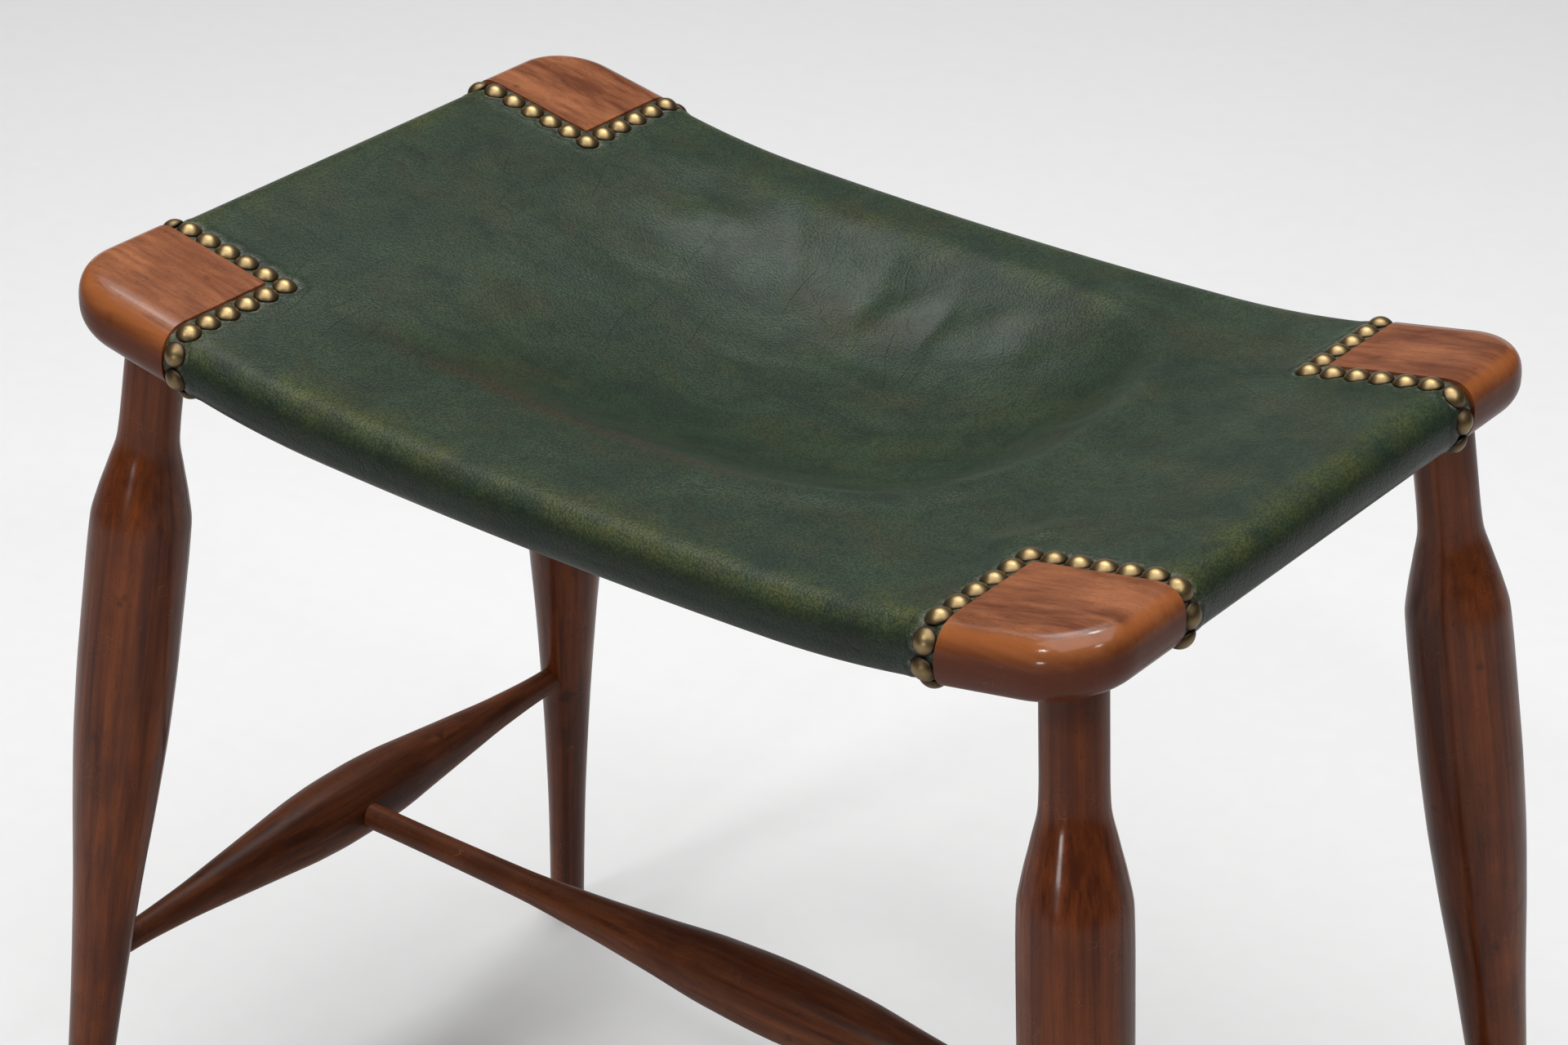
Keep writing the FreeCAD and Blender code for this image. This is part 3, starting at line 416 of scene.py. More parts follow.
def green_leather():
    """The grain side: pebbled, veined and wrinkled."""
    nodes = Nodes("green_leather")
    mottled = nodes.noise(nodes.place((42, 42, 42)), detail=6, roughness=0.68, distortion=0.5)
    pebbles = nodes.add("ShaderNodeTexVoronoi",
                        {"Vector": nodes.place(), "Scale": PEBBLES_PER_METRE, "Smoothness": 0.5},
                        feature="SMOOTH_F1", output="Distance")
    fine = nodes.noise(scale=2400, detail=2, roughness=0.6)
    wrinkles = nodes.noise(nodes.place((70, 150, 110), turn=0.3), detail=5, roughness=0.6, distortion=0.8)
    long_veins = veins(nodes, (62, 11, 30), turn=0.3, distortion=0.15, level=0.5, width=0.014, depth=1.0,
                       patch_scale=(30, 17, 20), patch_low=0.49, patch_high=0.6)
    cross_veins = veins(nodes, (12, 48, 30), turn=-0.3, distortion=0.3, level=0.48, width=0.01, depth=0.6,
                        patch_scale=(16, 26, 20), patch_low=0.53, patch_high=0.62)
    all_veins = nodes.plus(long_veins, cross_veins)
    colour = leather_colour(nodes, mottled)
    # Painted shade darkens the sunk vein lines.
    colour = nodes.mix(nodes.times(all_veins, -0.22, clamp=True), colour, rgb(0.004, 0.007, 0.005))
    # Painted shade darkens the low ground between the pebbles.
    colour = nodes.tint(colour, pebbles, 0.3, 0.62, 0.5, rgb(0.006, 0.01, 0.007))
    grain = nodes.plus(nodes.times(pebbles, -0.8), nodes.times(fine, 0.2))
    normal = nodes.bump(all_veins, VEIN_DEPTH, 0.45)
    normal = nodes.bump(wrinkles, WRINKLE_DEPTH, 0.25, normal)
    normal = nodes.bump(grain, PEBBLE_DEPTH, 0.95, normal)
    nodes.set(Base_Color=colour, Roughness=nodes.ramp(mottled, 0.3, 0.7, 0.45, 0.35),
              Specular_IOR_Level=0.18, Specular_Tint=rgb(0.95, 0.94, 1.0), Normal=normal)
    return nodes.material


def flesh_side():
    """The rough inner side of the hide, seen from below."""
    nodes = Nodes("leather_flesh_side")
    nap = nodes.noise(scale=900, detail=4, roughness=0.7)
    broad = nodes.noise(scale=22, detail=5, roughness=0.6)
    colour = nodes.mix(nodes.ramp(broad, 0.35, 0.65), rgb(0.15, 0.1, 0.06), rgb(0.23, 0.165, 0.105))
    nodes.set(Base_Color=nodes.tint(colour, nap, 0.3, 0.7, 0.35, rgb(0.1, 0.07, 0.045)),
              Roughness=nodes.ramp(nap, 0.3, 0.7, 0.85, 0.97), Sheen_Weight=0.3, Specular_IOR_Level=0.25,
              Normal=nodes.bump(nap, NAP_DEPTH, 0.6))
    return nodes.material


leather_material = green_leather()
flesh_material = flesh_side()


# Metals

BRASS_PITS, STEEL_PITS = 0.12 * MM, 0.1 * MM


def old_brass():
    """Brass gone dark round its rims and with age."""
    nodes = Nodes("old_brass")
    spots = nodes.noise(scale=420, detail=4, roughness=0.65)
    bright = nodes.mix(nodes.ramp(spots, 0.35, 0.68), rgb(0.39, 0.28, 0.13), rgb(0.27, 0.19, 0.09))
    rim, age = nodes.times(nodes.point("rim"), 0.8), nodes.times(nodes.point("age"), 0.6)
    darkness = nodes.plus(rim, age, clamp=True)
    nodes.set(Base_Color=nodes.mix(darkness, bright, rgb(0.06, 0.04, 0.024)), Metallic=1.0,
              Roughness=nodes.ramp(darkness, 0.0, 1.0, 0.33, 0.5),
              Normal=nodes.bump(spots, BRASS_PITS, 0.35))
    return nodes.material


def blued_steel():
    """Blued tacks with brown spots."""
    nodes = Nodes("blued_steel")
    spots = nodes.noise(scale=500, detail=3)
    spotted = nodes.mix(nodes.ramp(spots, 0.4, 0.65), rgb(0.1, 0.1, 0.11), rgb(0.2, 0.13, 0.09))
    nodes.set(Base_Color=spotted, Metallic=1.0,
              Roughness=nodes.ramp(spots, 0.3, 0.7, 0.35, 0.55), Normal=nodes.bump(spots, STEEL_PITS, 0.3))
    return nodes.material


brass = old_brass()
steel = blued_steel()


# Walks over an edge

def walk(travel, stretches):
    """Way out, way down and heading after a travel along stretches of (length, turn)."""
    out, down, heading = 0, 0, 0
    for length, turn in stretches:
        way = min(travel, length)
        bend = turn * way / length
        if turn:
            out += (sin(heading + bend) - sin(heading)) * length / turn
            down += (cos(heading) - cos(heading + bend)) * length / turn
        else:
            out += way * cos(heading)
            down += way * sin(heading)
        heading += bend
        travel -= way
    return out, down, heading


def soft_bend(radius, turn):
    """Stretches of a soft bend, and how far before the corner it starts."""
    gentle = (GENTLE_RADIUS * radius * GENTLE_TURN * turn, GENTLE_TURN * turn)
    tight_turn = turn - 2 * gentle[1]
    stretches = [gentle, (TIGHT_RADIUS * radius * tight_turn, tight_turn), gentle]
    _, down, _ = walk(sum(length for length, _ in stretches), stretches)
    return stretches, down / sin(turn)


def over_the_edge(distance, top_turn):
    """Stretches of the leather's surface from a place on top, over an edge, down and under."""
    height = RAIL_THICKNESS - 2 * HIDE_INSET
    bottom_turn = pi - top_turn
    bottom_radius = BOTTOM_ROUNDING - HIDE_INSET
    bottom_tangent = bottom_radius * tan(bottom_turn / 2)
    top_bend, top_tangent = soft_bend(TOP_ROUNDING - HIDE_INSET, top_turn)
    upright = height - top_tangent - bottom_tangent
    return [(distance - top_tangent, 0), *top_bend, (upright, 0), (bottom_radius * bottom_turn, bottom_turn),
            (TUCK_WIDTH - bottom_tangent, 0)]


def travels(stretches, step, bend_step):
    """Places along the stretches, closer where they bend."""
    places, start = [0.0], 0.0
    for length, turn in stretches:
        pieces = max(1, ceil(length / (bend_step if turn else step)))
        places += [start + length * (n + 1) / pieces for n in range(pieces)]
        start += length
    return places


def on_long_edge(start_y, out, down, x):
    """A place on the leather of a long side, as y and z."""
    return start_y + out, wood_top(x) - HIDE_INSET - down


def on_end_edge(start_x, out, down):
    """A place on the leather of an end, as x and z."""
    x = start_x + out * cos(END_ANGLE) + down * sin(END_ANGLE)
    z = wood_top(start_x) - HIDE_INSET + out * sin(END_ANGLE) - down * cos(END_ANGLE)
    return x, z


# Hollow of the leather, and the low lip in front of it and to its right

DISH_DEPTH = 26 * MM
DISH_MIDDLE_Y = 14 * MM
DISH_REACH_Y, DISH_POWER_Y = 104 * MM, 2.5
DISH_RIGHT, DISH_POWER_X = 129 * MM, 3.5
DISH_LEFT_START, DISH_LEFT_END = -18 * MM, -172 * MM
DISH_SOFTNESS = 0.11
FLAT_FROM = -8 * DISH_SOFTNESS
LIP_HEIGHT = 1.2 * MM
LIP_SHARE, LIP_WIDTH = -0.1, 0.26
LIP_START, LIP_RUN = 10 * MM, 60 * MM


def dish_share(x, y):
    """1 in the middle of the hollow, 0 on its ridge and below 0 outside it."""
    along = max(0.0, x / DISH_RIGHT) ** DISH_POWER_X
    return 1 - abs((y - DISH_MIDDLE_Y) / DISH_REACH_Y) ** DISH_POWER_Y - along


def left_fade(x):
    """The hollow runs out softly to the left."""
    way = (x - DISH_LEFT_START) / (DISH_LEFT_END - DISH_LEFT_START)
    return 0.5 + 0.5 * cos(pi * clamp(way))


def dish_drop(x, y):
    """How far the leather lies below the rails in the hollow, less the lip."""
    share = dish_share(x, y)
    lip = LIP_HEIGHT * hill(share - LIP_SHARE, LIP_WIDTH) * clamp((x - LIP_START) / LIP_RUN)
    if share < FLAT_FROM:
        return -lip
    return left_fade(x) * DISH_DEPTH * DISH_SOFTNESS * log(1 + exp(share / DISH_SOFTNESS)) - lip


# Creases of the leather: both ends in millimetres, half width and depth
CREASES = (
    ((-84, 118), (-52, 66), 6.0, 0.9), ((-66, 86), (-30, 62), 5.0, 0.6), ((-30, 112), (-18, 66), 7.0, 0.9),
    ((8, 102), (16, 62), 4.0, 1.0), ((-128, 116), (-118, 66), 8.0, 0.6), ((46, 98), (62, 62), 7.0, 0.7),
    ((-36, 58), (26, 44), 6.0, 0.6), ((60, -62), (92, -14), 4.5, 1.0), ((92, -14), (94, 46), 5.0, 1.0),
    ((70, -70), (108, -30), 4.0, 0.7), ((-60, 20), (-10, 34), 6.0, 0.5), ((20, 2), (66, 24), 6.0, 0.5),
    ((-118, 30), (-82, 52), 6.0, 0.5), ((-90, -60), (-20, -78), 7.0, 0.5),
)
# A crease fades past its ends by this share of its length, and waves.
CREASE_FADE = 0.3
CREASE_WAVE, CREASE_WAVE_LENGTH = 1.3, 9
CREASE_REACH = 3
# Bulges between them: middle, half length, half width, turn and height
BULGES = (
    ((-104, 88), 24, 13, 0.5, 1.9), ((-60, 112), 20, 9, -0.2, 1.4), ((-142, 112), 20, 12, 0.3, 0.9),
    ((-5, 84), 15, 10, 0.9, 2.2), ((32, 90), 17, 10, 0.6, 2.1), ((66, 78), 14, 9, 0.5, 1.0),
    ((112, -34), 12, 26, 0.3, 0.8), ((112, 24), 12, 26, -0.15, 0.9), ((70, -82), 22, 9, 0.2, 0.7),
)
BULGE_REACH = 60


def crease_drop(x, y):
    """Valleys along the creases, less the bulges."""
    drop = 0.0
    for (ax, ay), (bx, by), half_width, depth in CREASES:
        along_x, along_y = bx - ax, by - ay
        length = hypot(along_x, along_y)
        px, py = x / MM - ax, y / MM - ay
        along = (px * along_x + py * along_y) / length
        across = (px * along_y - py * along_x) / length
        across += CREASE_WAVE * sin(along / CREASE_WAVE_LENGTH + ax)
        way = (along / length + CREASE_FADE) / (1 + 2 * CREASE_FADE)
        if 0 < way < 1 and abs(across) < CREASE_REACH * half_width:
            drop += depth * MM * sin(pi * way) ** 2 * hill(across, half_width)
    for (bx, by), half_length, half_width, turn, height in BULGES:
        px, py = x / MM - bx, y / MM - by
        if abs(px) < BULGE_REACH and abs(py) < BULGE_REACH:
            along = px * cos(turn) + py * sin(turn)
            across = py * cos(turn) - px * sin(turn)
            drop -= height * MM * hill(along, half_length) * hill(across, half_width)
    return drop


# Unevenness of the hide: waves to the metre, and height and fineness of each layer
WAVES_X, WAVES_Y, WAVES_SEED = 17, 21, 3.7
WAVE_LAYERS = ((0.7 * MM, 1), (0.3 * MM, 2.7), (0.08 * MM, 7))


def undulation(x, y):
    place = Vector((x * WAVES_X, y * WAVES_Y, WAVES_SEED))
    return sum(height * noise.noise(place * fineness) for height, fineness in WAVE_LAYERS)


PUCKER_HEIGHT = 1.5 * MM
PUCKER_X, PUCKER_Y = BLOCK_INNER_X - 11 * MM, 25 * MM - BLOCK_INNER_Y
PUCKER_LENGTH, PUCKER_WIDTH = 15 * MM, 6 * MM
PUCKER_FADE = 12 * MM


def pucker(x, y):
    """The leather stands up a little behind the front right nails."""
    along = (x - PUCKER_X + y - PUCKER_Y) / sqrt(2)
    across = (y - PUCKER_Y - x + PUCKER_X) / sqrt(2)
    fade = clamp((HIDE_HALF_LENGTH - abs(x)) / PUCKER_FADE)
    return PUCKER_HEIGHT * fade * hill(along, PUCKER_LENGTH) * hill(across, PUCKER_WIDTH)


# Creases and waves fade towards the long rails and the ends.
RAIL_FADE, END_FADE = 22 * MM, 30 * MM


def relief(x, y):
    """How far the leather lies below the plain curve of the rails."""
    over_rails = clamp((HALF_DEPTH - TOP_ROUNDING - abs(y)) / RAIL_FADE)
    near_ends = clamp((HIDE_HALF_LENGTH - abs(x)) / END_FADE)
    edge = over_rails * near_ends
    return dish_drop(x, y) + edge * (crease_drop(x, y) - undulation(x, y)) - pucker(x, y)


# Where the nails are

def nail_places():
    """Place and facing of each nail of the corner at +X +Y."""
    first_x = BLOCK_INNER_X - NAIL_EDGE_GAP - NAIL_RADIUS
    first_y = BLOCK_INNER_Y - NAIL_EDGE_GAP - NAIL_RADIUS
    first_z = wood_top(first_x) - HIDE_INSET
    across = over_the_edge(HALF_DEPTH - HIDE_INSET - first_y, RIGHT_ANGLE)
    distance = (HALF_LENGTH - HIDE_INSET - first_x) / cos(END_ANGLE)
    along = over_the_edge(distance, RIGHT_ANGLE + END_ANGLE)
    places = [(Vector((first_x, first_y, first_z)), Vector((-END_SLOPE, 0, 1)).normalized())]
    for number in range(1, NAILS_EACH_WAY + 1):
        out, down, heading = walk(number * NAIL_PITCH, across)
        y, z = on_long_edge(first_y, out, down, first_x)
        facing = Vector((-END_SLOPE * cos(heading), sin(heading), cos(heading)))
        places.append((Vector((first_x, y, z)), facing.normalized()))
        out, down, heading = walk(number * NAIL_PITCH, along)
        x, z = on_end_edge(first_x, out, down)
        facing = Vector((sin(heading - END_ANGLE), 0, cos(heading - END_ANGLE)))
        places.append((Vector((x, first_y, z)), facing))
    return places


NAIL_PLACES = nail_places()
# Depth of the dent and height of the swelling, and their places and widths in radii of the head
NAIL_DENT, NAIL_DENT_WIDTH = 0.6 * MM, 1.02
NAIL_SWELL, NAIL_SWELL_AT, NAIL_SWELL_WIDTH = 0.3 * MM, 1.55, 0.32
NAIL_DUST_AT, NAIL_DUST_WIDTH = 1.08, 0.16
NAIL_REACH = 3
HIGHEST_SWELL = 0.5 * MM
# Nearer the middle, no nail is felt.
NAILS_FROM_X, NAILS_FROM_Y = 0.6 * HALF_LENGTH, 0.5 * HALF_DEPTH


def nail_press(point):
    """How far the nails press the leather in here, and the dust at their rims."""
    if abs(point.x) < NAILS_FROM_X or abs(point.y) < NAILS_FROM_Y:
        return 0.0, 0.0
    mirrored = Vector((abs(point.x), abs(point.y), point.z))
    press, dust = 0.0, 0.0
    for place, _ in NAIL_PLACES:
        share = (mirrored - place).length / NAIL_RADIUS
        if share < NAIL_REACH:
            press += NAIL_DENT * hill(share, NAIL_DENT_WIDTH, 4)
            press -= NAIL_SWELL * hill(share - NAIL_SWELL_AT, NAIL_SWELL_WIDTH)
            dust = max(dust, hill(share - NAIL_DUST_AT, NAIL_DUST_WIDTH))
    return max(-HIGHEST_SWELL, min(NAIL_DENT, press)), dust


# Leather seat

HIDE_STEP, FINE_STEP, BEND_STEP, END_STEP = 2.4 * MM, 1.0 * MM, 1.0 * MM, 1.4 * MM
NEAR_NAILS = 18 * MM
# The yellowed band along each edge: how far past the start of the bend, its width and strengths
BAND_PAST_BEND, BAND_WIDTH = 6 * MM, 8 * MM
FRONT_BAND, BACK_BAND, RIGHT_BAND, LEFT_BAND = 1.0, 0.3, 1.0, 0.6
# The tinted ridge: place and width as shares of the dish, reach along the seat, and where it is strongest
RIDGE_SHARE, RIDGE_WIDTH, RIDGE_REACH = -0.02, 0.16, 95 * MM
BACK_RIDGE_X, BACK_RIDGE = -10 * MM, 0.55
FRONT_RIDGE_X, FRONT_RIDGE = -45 * MM, 1.1
# Painted shade: side faces of the leather are darker, from this upward lean on, over this range
SHADE_FROM, SHADE_RANGE = 0.75, 0.6
CUT_SHARE = 0.8


def ridge_tint(x, y):
    """Yellowing of the ridge behind the hollow, and browning of the one in front."""
    on_ridge = hill(dish_share(x, y) - RIDGE_SHARE, RIDGE_WIDTH)
    if y > 0:
        return BACK_RIDGE * on_ridge * hill(x - BACK_RIDGE_X, RIDGE_REACH, 4), 0.0
    return 0.0, FRONT_RIDGE * on_ridge * hill(x - FRONT_RIDGE_X, RIDGE_REACH, 4)


class Hide:
    """The leather's vertices on a grid, and what its material reads."""

    def __init__(self):
        self.index, self.points, self.normals, self.tints = {}, [], [], []

    def add(self, key, point, normal, yellow, brown, at_cut):
        self.index[key] = len(self.points)
        self.points.append(point)
        self.normals.append(normal)
        # Painted shade, by how far the leather leans away from upward
        shade = clamp((SHADE_FROM - normal.z) / SHADE_RANGE)
        self.tints.append((yellow, brown, CUT_SHARE if at_cut else 0.0, shade))

    def faces(self):
        """A face for each full square of the grid."""
        squares = [[self.index.get(key) for key in ((i, j), (i + 1, j), (i + 1, j + 1), (i, j + 1))]
                   for i, j in self.index]
        return [square for square in squares if None not in square]

    def press_nails(self):
        """Press the nails into the leather; gives the dust round them."""
        presses = [nail_press(point) for point in self.points]
        self.points = [point - normal * press
                       for point, normal, (press, _) in zip(self.points, self.normals, presses)]
        return [dust for _, dust in presses]


def hide_lines(half_size):
    """The grid's lines from side to side, closer near the nails."""
    near = half_size - NEAR_NAILS
    lines = spread(-half_size, -near, FINE_STEP) + spread(-near, near, HIDE_STEP)[1:-1]
    return lines + spread(near, half_size, FINE_STEP)


def add_top_and_long_sides(hide, xs, ys):
    """The top of the hide, and what hangs over the front and back rails."""
    across = over_the_edge(HALF_DEPTH - HIDE_INSET - HIDE_HALF_WIDTH, RIGHT_ANGLE)
    band_at = across[0][0] + BAND_PAST_BEND
    places = [(travel,) + walk(travel, across) for travel in travels(across, HIDE_STEP, BEND_STEP)[1:]]
    for i, x in enumerate(xs):
        at_end = i in (0, len(xs) - 1)
        slope = top_slope(x)
        for j, y in enumerate(ys):
            point = Vector((x, y, wood_top(x) - HIDE_INSET - relief(x, y)))
            hide.add((i, j), point, Vector((-slope, 0, 1)).normalized(), *ridge_tint(x, y), False)
        for number, (travel, out, down, heading) in enumerate(places, start=1):
            at_cut = at_end or number == len(places)
            for side, band, j in ((-1, FRONT_BAND, -number), (1, BACK_BAND, len(ys) - 1 + number)):
                y, z = on_long_edge(HIDE_HALF_WIDTH, out, down, x)
                yellow, brown = 0.0, 0.0
                if heading == 0:
                    yellow, brown = ridge_tint(x, side * y)
                    z -= relief(x, side * y)
                yellow += hill(travel - band_at, BAND_WIDTH) * band
                normal = Vector((-slope * cos(heading), side * sin(heading), cos(heading)))
                hide.add((i, j), Vector((x, side * y, z)), normal.normalized(), yellow, brown, at_cut)


def add_ends(hide, xs, ys):
    """What hangs over the end rails."""
    distance = (HALF_LENGTH - HIDE_INSET - HIDE_HALF_LENGTH) / cos(END_ANGLE)
    along = over_the_edge(distance, RIGHT_ANGLE + END_ANGLE)
    band_at = along[0][0] + BAND_PAST_BEND
    places = [(travel,) + walk(travel, along) for travel in travels(along, END_STEP, BEND_STEP)[1:]]
    for j, y in enumerate(ys):
        at_side = j in (0, len(ys) - 1)
        for number, (travel, out, down, heading) in enumerate(places, start=1):
            at_cut = at_side or number == len(places)
            turn = heading - END_ANGLE
            for side, band, i in ((-1, LEFT_BAND, -number), (1, RIGHT_BAND, len(xs) - 1 + number)):
                x, z = on_end_edge(HIDE_HALF_LENGTH, out, down)
                normal = Vector((side * sin(turn), 0, cos(turn)))
                yellow = hill(travel - band_at, BAND_WIDTH) * band
                hide.add((i, j), Vector((side * x, y, z)), normal, yellow, 0.0, at_cut)


hide = Hide()
line_xs, line_ys = hide_lines(HIDE_HALF_LENGTH), hide_lines(HIDE_HALF_WIDTH)
add_top_and_long_sides(hide, line_xs, line_ys)
add_ends(hide, line_xs, line_ys)
dust = hide.press_nails()
leather = new_object("leather_sling", hide.points, hide.faces(), leather_material)
set_points(leather, "dust", dust)
for name, values in zip(("patina", "ridge", "cut", "shade"), zip(*hide.tints)):
    set_points(leather, name, values)
leather.data.materials.append(flesh_material)
thick = leather.modifiers.new("thickness", "SOLIDIFY")
thick.material_offset = 1
thick.material_offset_rim = 1
thick.thickness = HIDE_THICKNESS
thick.offset = -1
thick.use_even_offset = True
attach(leather, "root")
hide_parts("leather_seat")


# Long rails with their corner blocks

BOTTOM_PIECES, CORNER_PIECES, CORE_PIECES = 14, 24, 6
# Width of the wear and painted highlight on the top rounding
EDGE_WEAR_AND_HIGHLIGHT_WIDTH = 7 * MM
# Painted shade on the block's sides: from this depth on, over this run
SIDE_SHADE_START, SIDE_SHADE_RUN = 4 * MM, 8 * MM
BLOCK_ARRIS = 0.5 * MM
CORE_OVERLAP = 2 * MM
CORE_END_STEP, CORE_WAIST_STEP = 4 * MM, 5 * MM
BLOCK_CREASE_ANGLE = 35


def block_side():
    """Depths down the block's side, and how far the outline draws in there."""
    bend, tangent = soft_bend(TOP_ROUNDING, RIGHT_ANGLE)
    places = [walk(travel, bend) for travel in travels(bend, MM, MM)]
    side = [(down, tangent - out) for out, down, _ in places]
    for n in range(BOTTOM_PIECES + 1):
        turn = RIGHT_ANGLE * n / BOTTOM_PIECES
        depth = RAIL_THICKNESS - BOTTOM_ROUNDING * (1 - sin(turn))
        side.append((depth, BOTTOM_ROUNDING * (1 - cos(turn))))
    return side


BLOCK_SIDE = block_side()


def block_outline(inset):
    """A block's outline from above, drawn in by the inset."""
    radius = CORNER_RADIUS - inset
    outline = [(BLOCK_INNER_X, HALF_DEPTH - inset)]
    for n in range(CORNER_PIECES + 1):
        turn = RIGHT_ANGLE * n / CORNER_PIECES
        outline.append((HALF_LENGTH - CORNER_RADIUS + radius * sin(turn),
                        HALF_DEPTH - CORNER_RADIUS + radius * cos(turn)))
    return outline + [(HALF_LENGTH - inset, BLOCK_INNER_Y), (BLOCK_INNER_X, BLOCK_INNER_Y)]


def block_mesh(side_x, side_y):
    """Vertices and faces of a block, each vertex's wear with painted highlight on the top edge, and its
    painted shade on the sides.
    """
    vertices, faces, edges, shades = [], [], [], []
    for depth, inset in BLOCK_SIDE:
        outline = block_outline(inset)
        size = len(outline)
        if vertices:
            faces += band(len(vertices) - size, len(vertices), size)
        vertices += [(side_x * x, side_y * y, wood_top(x) - depth) for x, y in outline]
        # Wear and painted highlight on the top rounding only
        wear_and_highlight = sin(pi * min(1.0, inset / EDGE_WEAR_AND_HIGHLIGHT_WIDTH)) if depth < TOP_ROUNDING else 0.0
        edges += [wear_and_highlight] * size
        # Painted shade down the sides
        shades += [clamp((depth - SIDE_SHADE_START) / SIDE_SHADE_RUN)] * size
    faces += end_faces(len(vertices), size)
    return vertices, faces, edges, shades


def core_section(inner):
    """Outline of a long rail under the leather: way out, and depth below the wood's top."""
    outer, top, bottom = HALF_DEPTH - REBATE, REBATE, RAIL_THICKNESS - REBATE
    corners = ((inner, top, INNER_ROUNDING, 180), (outer, top, TOP_ROUNDING - REBATE, 270),
               (outer, bottom, BOTTOM_ROUNDING - REBATE, 0), (inner, bottom, INNER_BOTTOM_ROUNDING, 90))
    section = []
    for y, depth, radius, start in corners:
        middle_y = y + radius if y == inner else y - radius
        middle_depth = depth + radius if depth == top else depth - radius
        for n in range(CORE_PIECES + 1):
            angle = radians(start) + RIGHT_ANGLE * n / CORE_PIECES
            section.append((middle_y + radius * cos(angle), middle_depth + radius * sin(angle)))
    return section


def core_mesh(side_y):
    """A long rail under the leather, narrower between its shoulders."""
    reach = BLOCK_INNER_X + CORE_OVERLAP
    shoulder = BLOCK_INNER_X - WAIST_MARGIN
    wide, narrow = core_section(BLOCK_INNER_Y), core_section(HALF_DEPTH - WAIST_WIDTH)
    stations = [(x, wide) for x in spread(-reach, -shoulder, CORE_END_STEP)]
    stations += [(x, narrow) for x in spread(-shoulder, shoulder, CORE_WAIST_STEP)]
    stations += [(x, wide) for x in spread(shoulder, reach, CORE_END_STEP)]
    vertices, faces, size = [], [], len(wide)
    for x, section in stations:
        vertices += [(x, side_y * y, wood_top(x) - depth) for y, depth in section]
    for n in range(len(stations) - 1):
        faces += band(n * size, (n + 1) * size, size)
    faces += end_faces(len(vertices), size)
    plain = [0.0] * len(vertices)
    return vertices, faces, plain, plain


def rail_piece(name, mesh, material):
    """One piece of a long rail, with the grain along the seat."""
    vertices, faces, edges, shades = mesh
    piece = new_object(name, vertices, faces, material, smooth_angle=BLOCK_CREASE_ANGLE)
    set_grain(piece, [(y, z, x) for x, y, z in vertices])
    set_points(piece, "edge", edges)
    set_points(piece, "shade", shades)
    face_outward(piece)
    return piece


for side_y, word in SIDES:
    core = rail_piece(word + "_rail_core", core_mesh(side_y), long_rail_wood)
    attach(core, "root")
    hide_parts(word + "_rail")
    for side_x, hand in HANDS:
        block = rail_piece(f"block_{word}_{hand}", block_mesh(side_x, side_y), frame_wood)
        soften(block, BLOCK_ARRIS)
        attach(block, "root")
        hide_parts(word + "_rail")


# Turned pieces. A profile gives places along the axis and radii, in millimetres.

LEG_PROFILE = ((0, 8.3), (60, 8.95), (115, 10.57), (190, 14.48), (239, 18.1), (275, 20.1), (310, 20.85),
               (350, 20.9), (369, 20.6), (381, 18.6), (394, 15.5), (408, 12.6), (420, 12.3), (470, 12.3))
SIDE_PROFILE = ((-155, 5.9), (-137, 5.95), (-105, 7.6), (-80, 10.1), (-50, 13.35), (-25, 15.9), (-7, 16.7),
                (7, 16.7), (25, 15.9), (50, 13.35), (80, 10.1), (105, 7.6), (137, 5.95), (155, 5.9))
MIDDLE_PROFILE = ((-251, 5.9), (-232, 5.9), (-150, 6.7), (-110, 9.0), (-70, 12.5), (-35, 15.9), (0, 17.2),
                  (35, 15.9), (70, 12.5), (110, 9.0), (150, 6.7), (232, 5.9), (251, 5.9))
PROFILE_STEP = 2.5
LEG_SIDES, BAR_SIDES = 64, 48
TURNED_CREASE_ANGLE = 40
# How far along its plank a piece comes from, as multiples of its place
PLANK_SHIFT_X, PLANK_SHIFT_Y = 3, 5


def smooth_tangents(gaps, slopes):
    """Slopes at the profile's points, so that the curve never overshoots them."""
    tangents = [slopes[0]]
    for before, after, left, right in zip(slopes, slopes[1:], gaps, gaps[1:]):
        if before * after <= 0:
            tangents.append(0.0)
        else:
            weight_a, weight_b = 2 * right + left, right + 2 * left
            tangents.append((weight_a + weight_b) / (weight_a / before + weight_b / after))
    return tangents + [slopes[-1]]


def smooth_profile(profile):
    """A smooth curve through the profile, in metres."""
    places = [place for place, _ in profile]
    radii = [radius for _, radius in profile]
    gaps = [b - a for a, b in zip(places, places[1:])]
    tangents = smooth_tangents(gaps, [(b - a) / gap for a, b, gap in zip(radii, radii[1:], gaps)])
    curve = []
    for n, gap in enumerate(gaps):
        pieces = max(1, round(gap / PROFILE_STEP))
        for m in range(pieces):
            t = m / pieces
            radius = ((1 + 2 * t) * (1 - t) ** 2 * radii[n] + t * (1 - t) ** 2 * gap * tangents[n]
                      + t * t * (3 - 2 * t) * radii[n + 1] + t * t * (t - 1) * gap * tangents[n + 1])
            curve.append((places[n] + t * gap, radius))
    curve.append(profile[-1])
    return [(place * MM, radius * MM) for place, radius in curve]


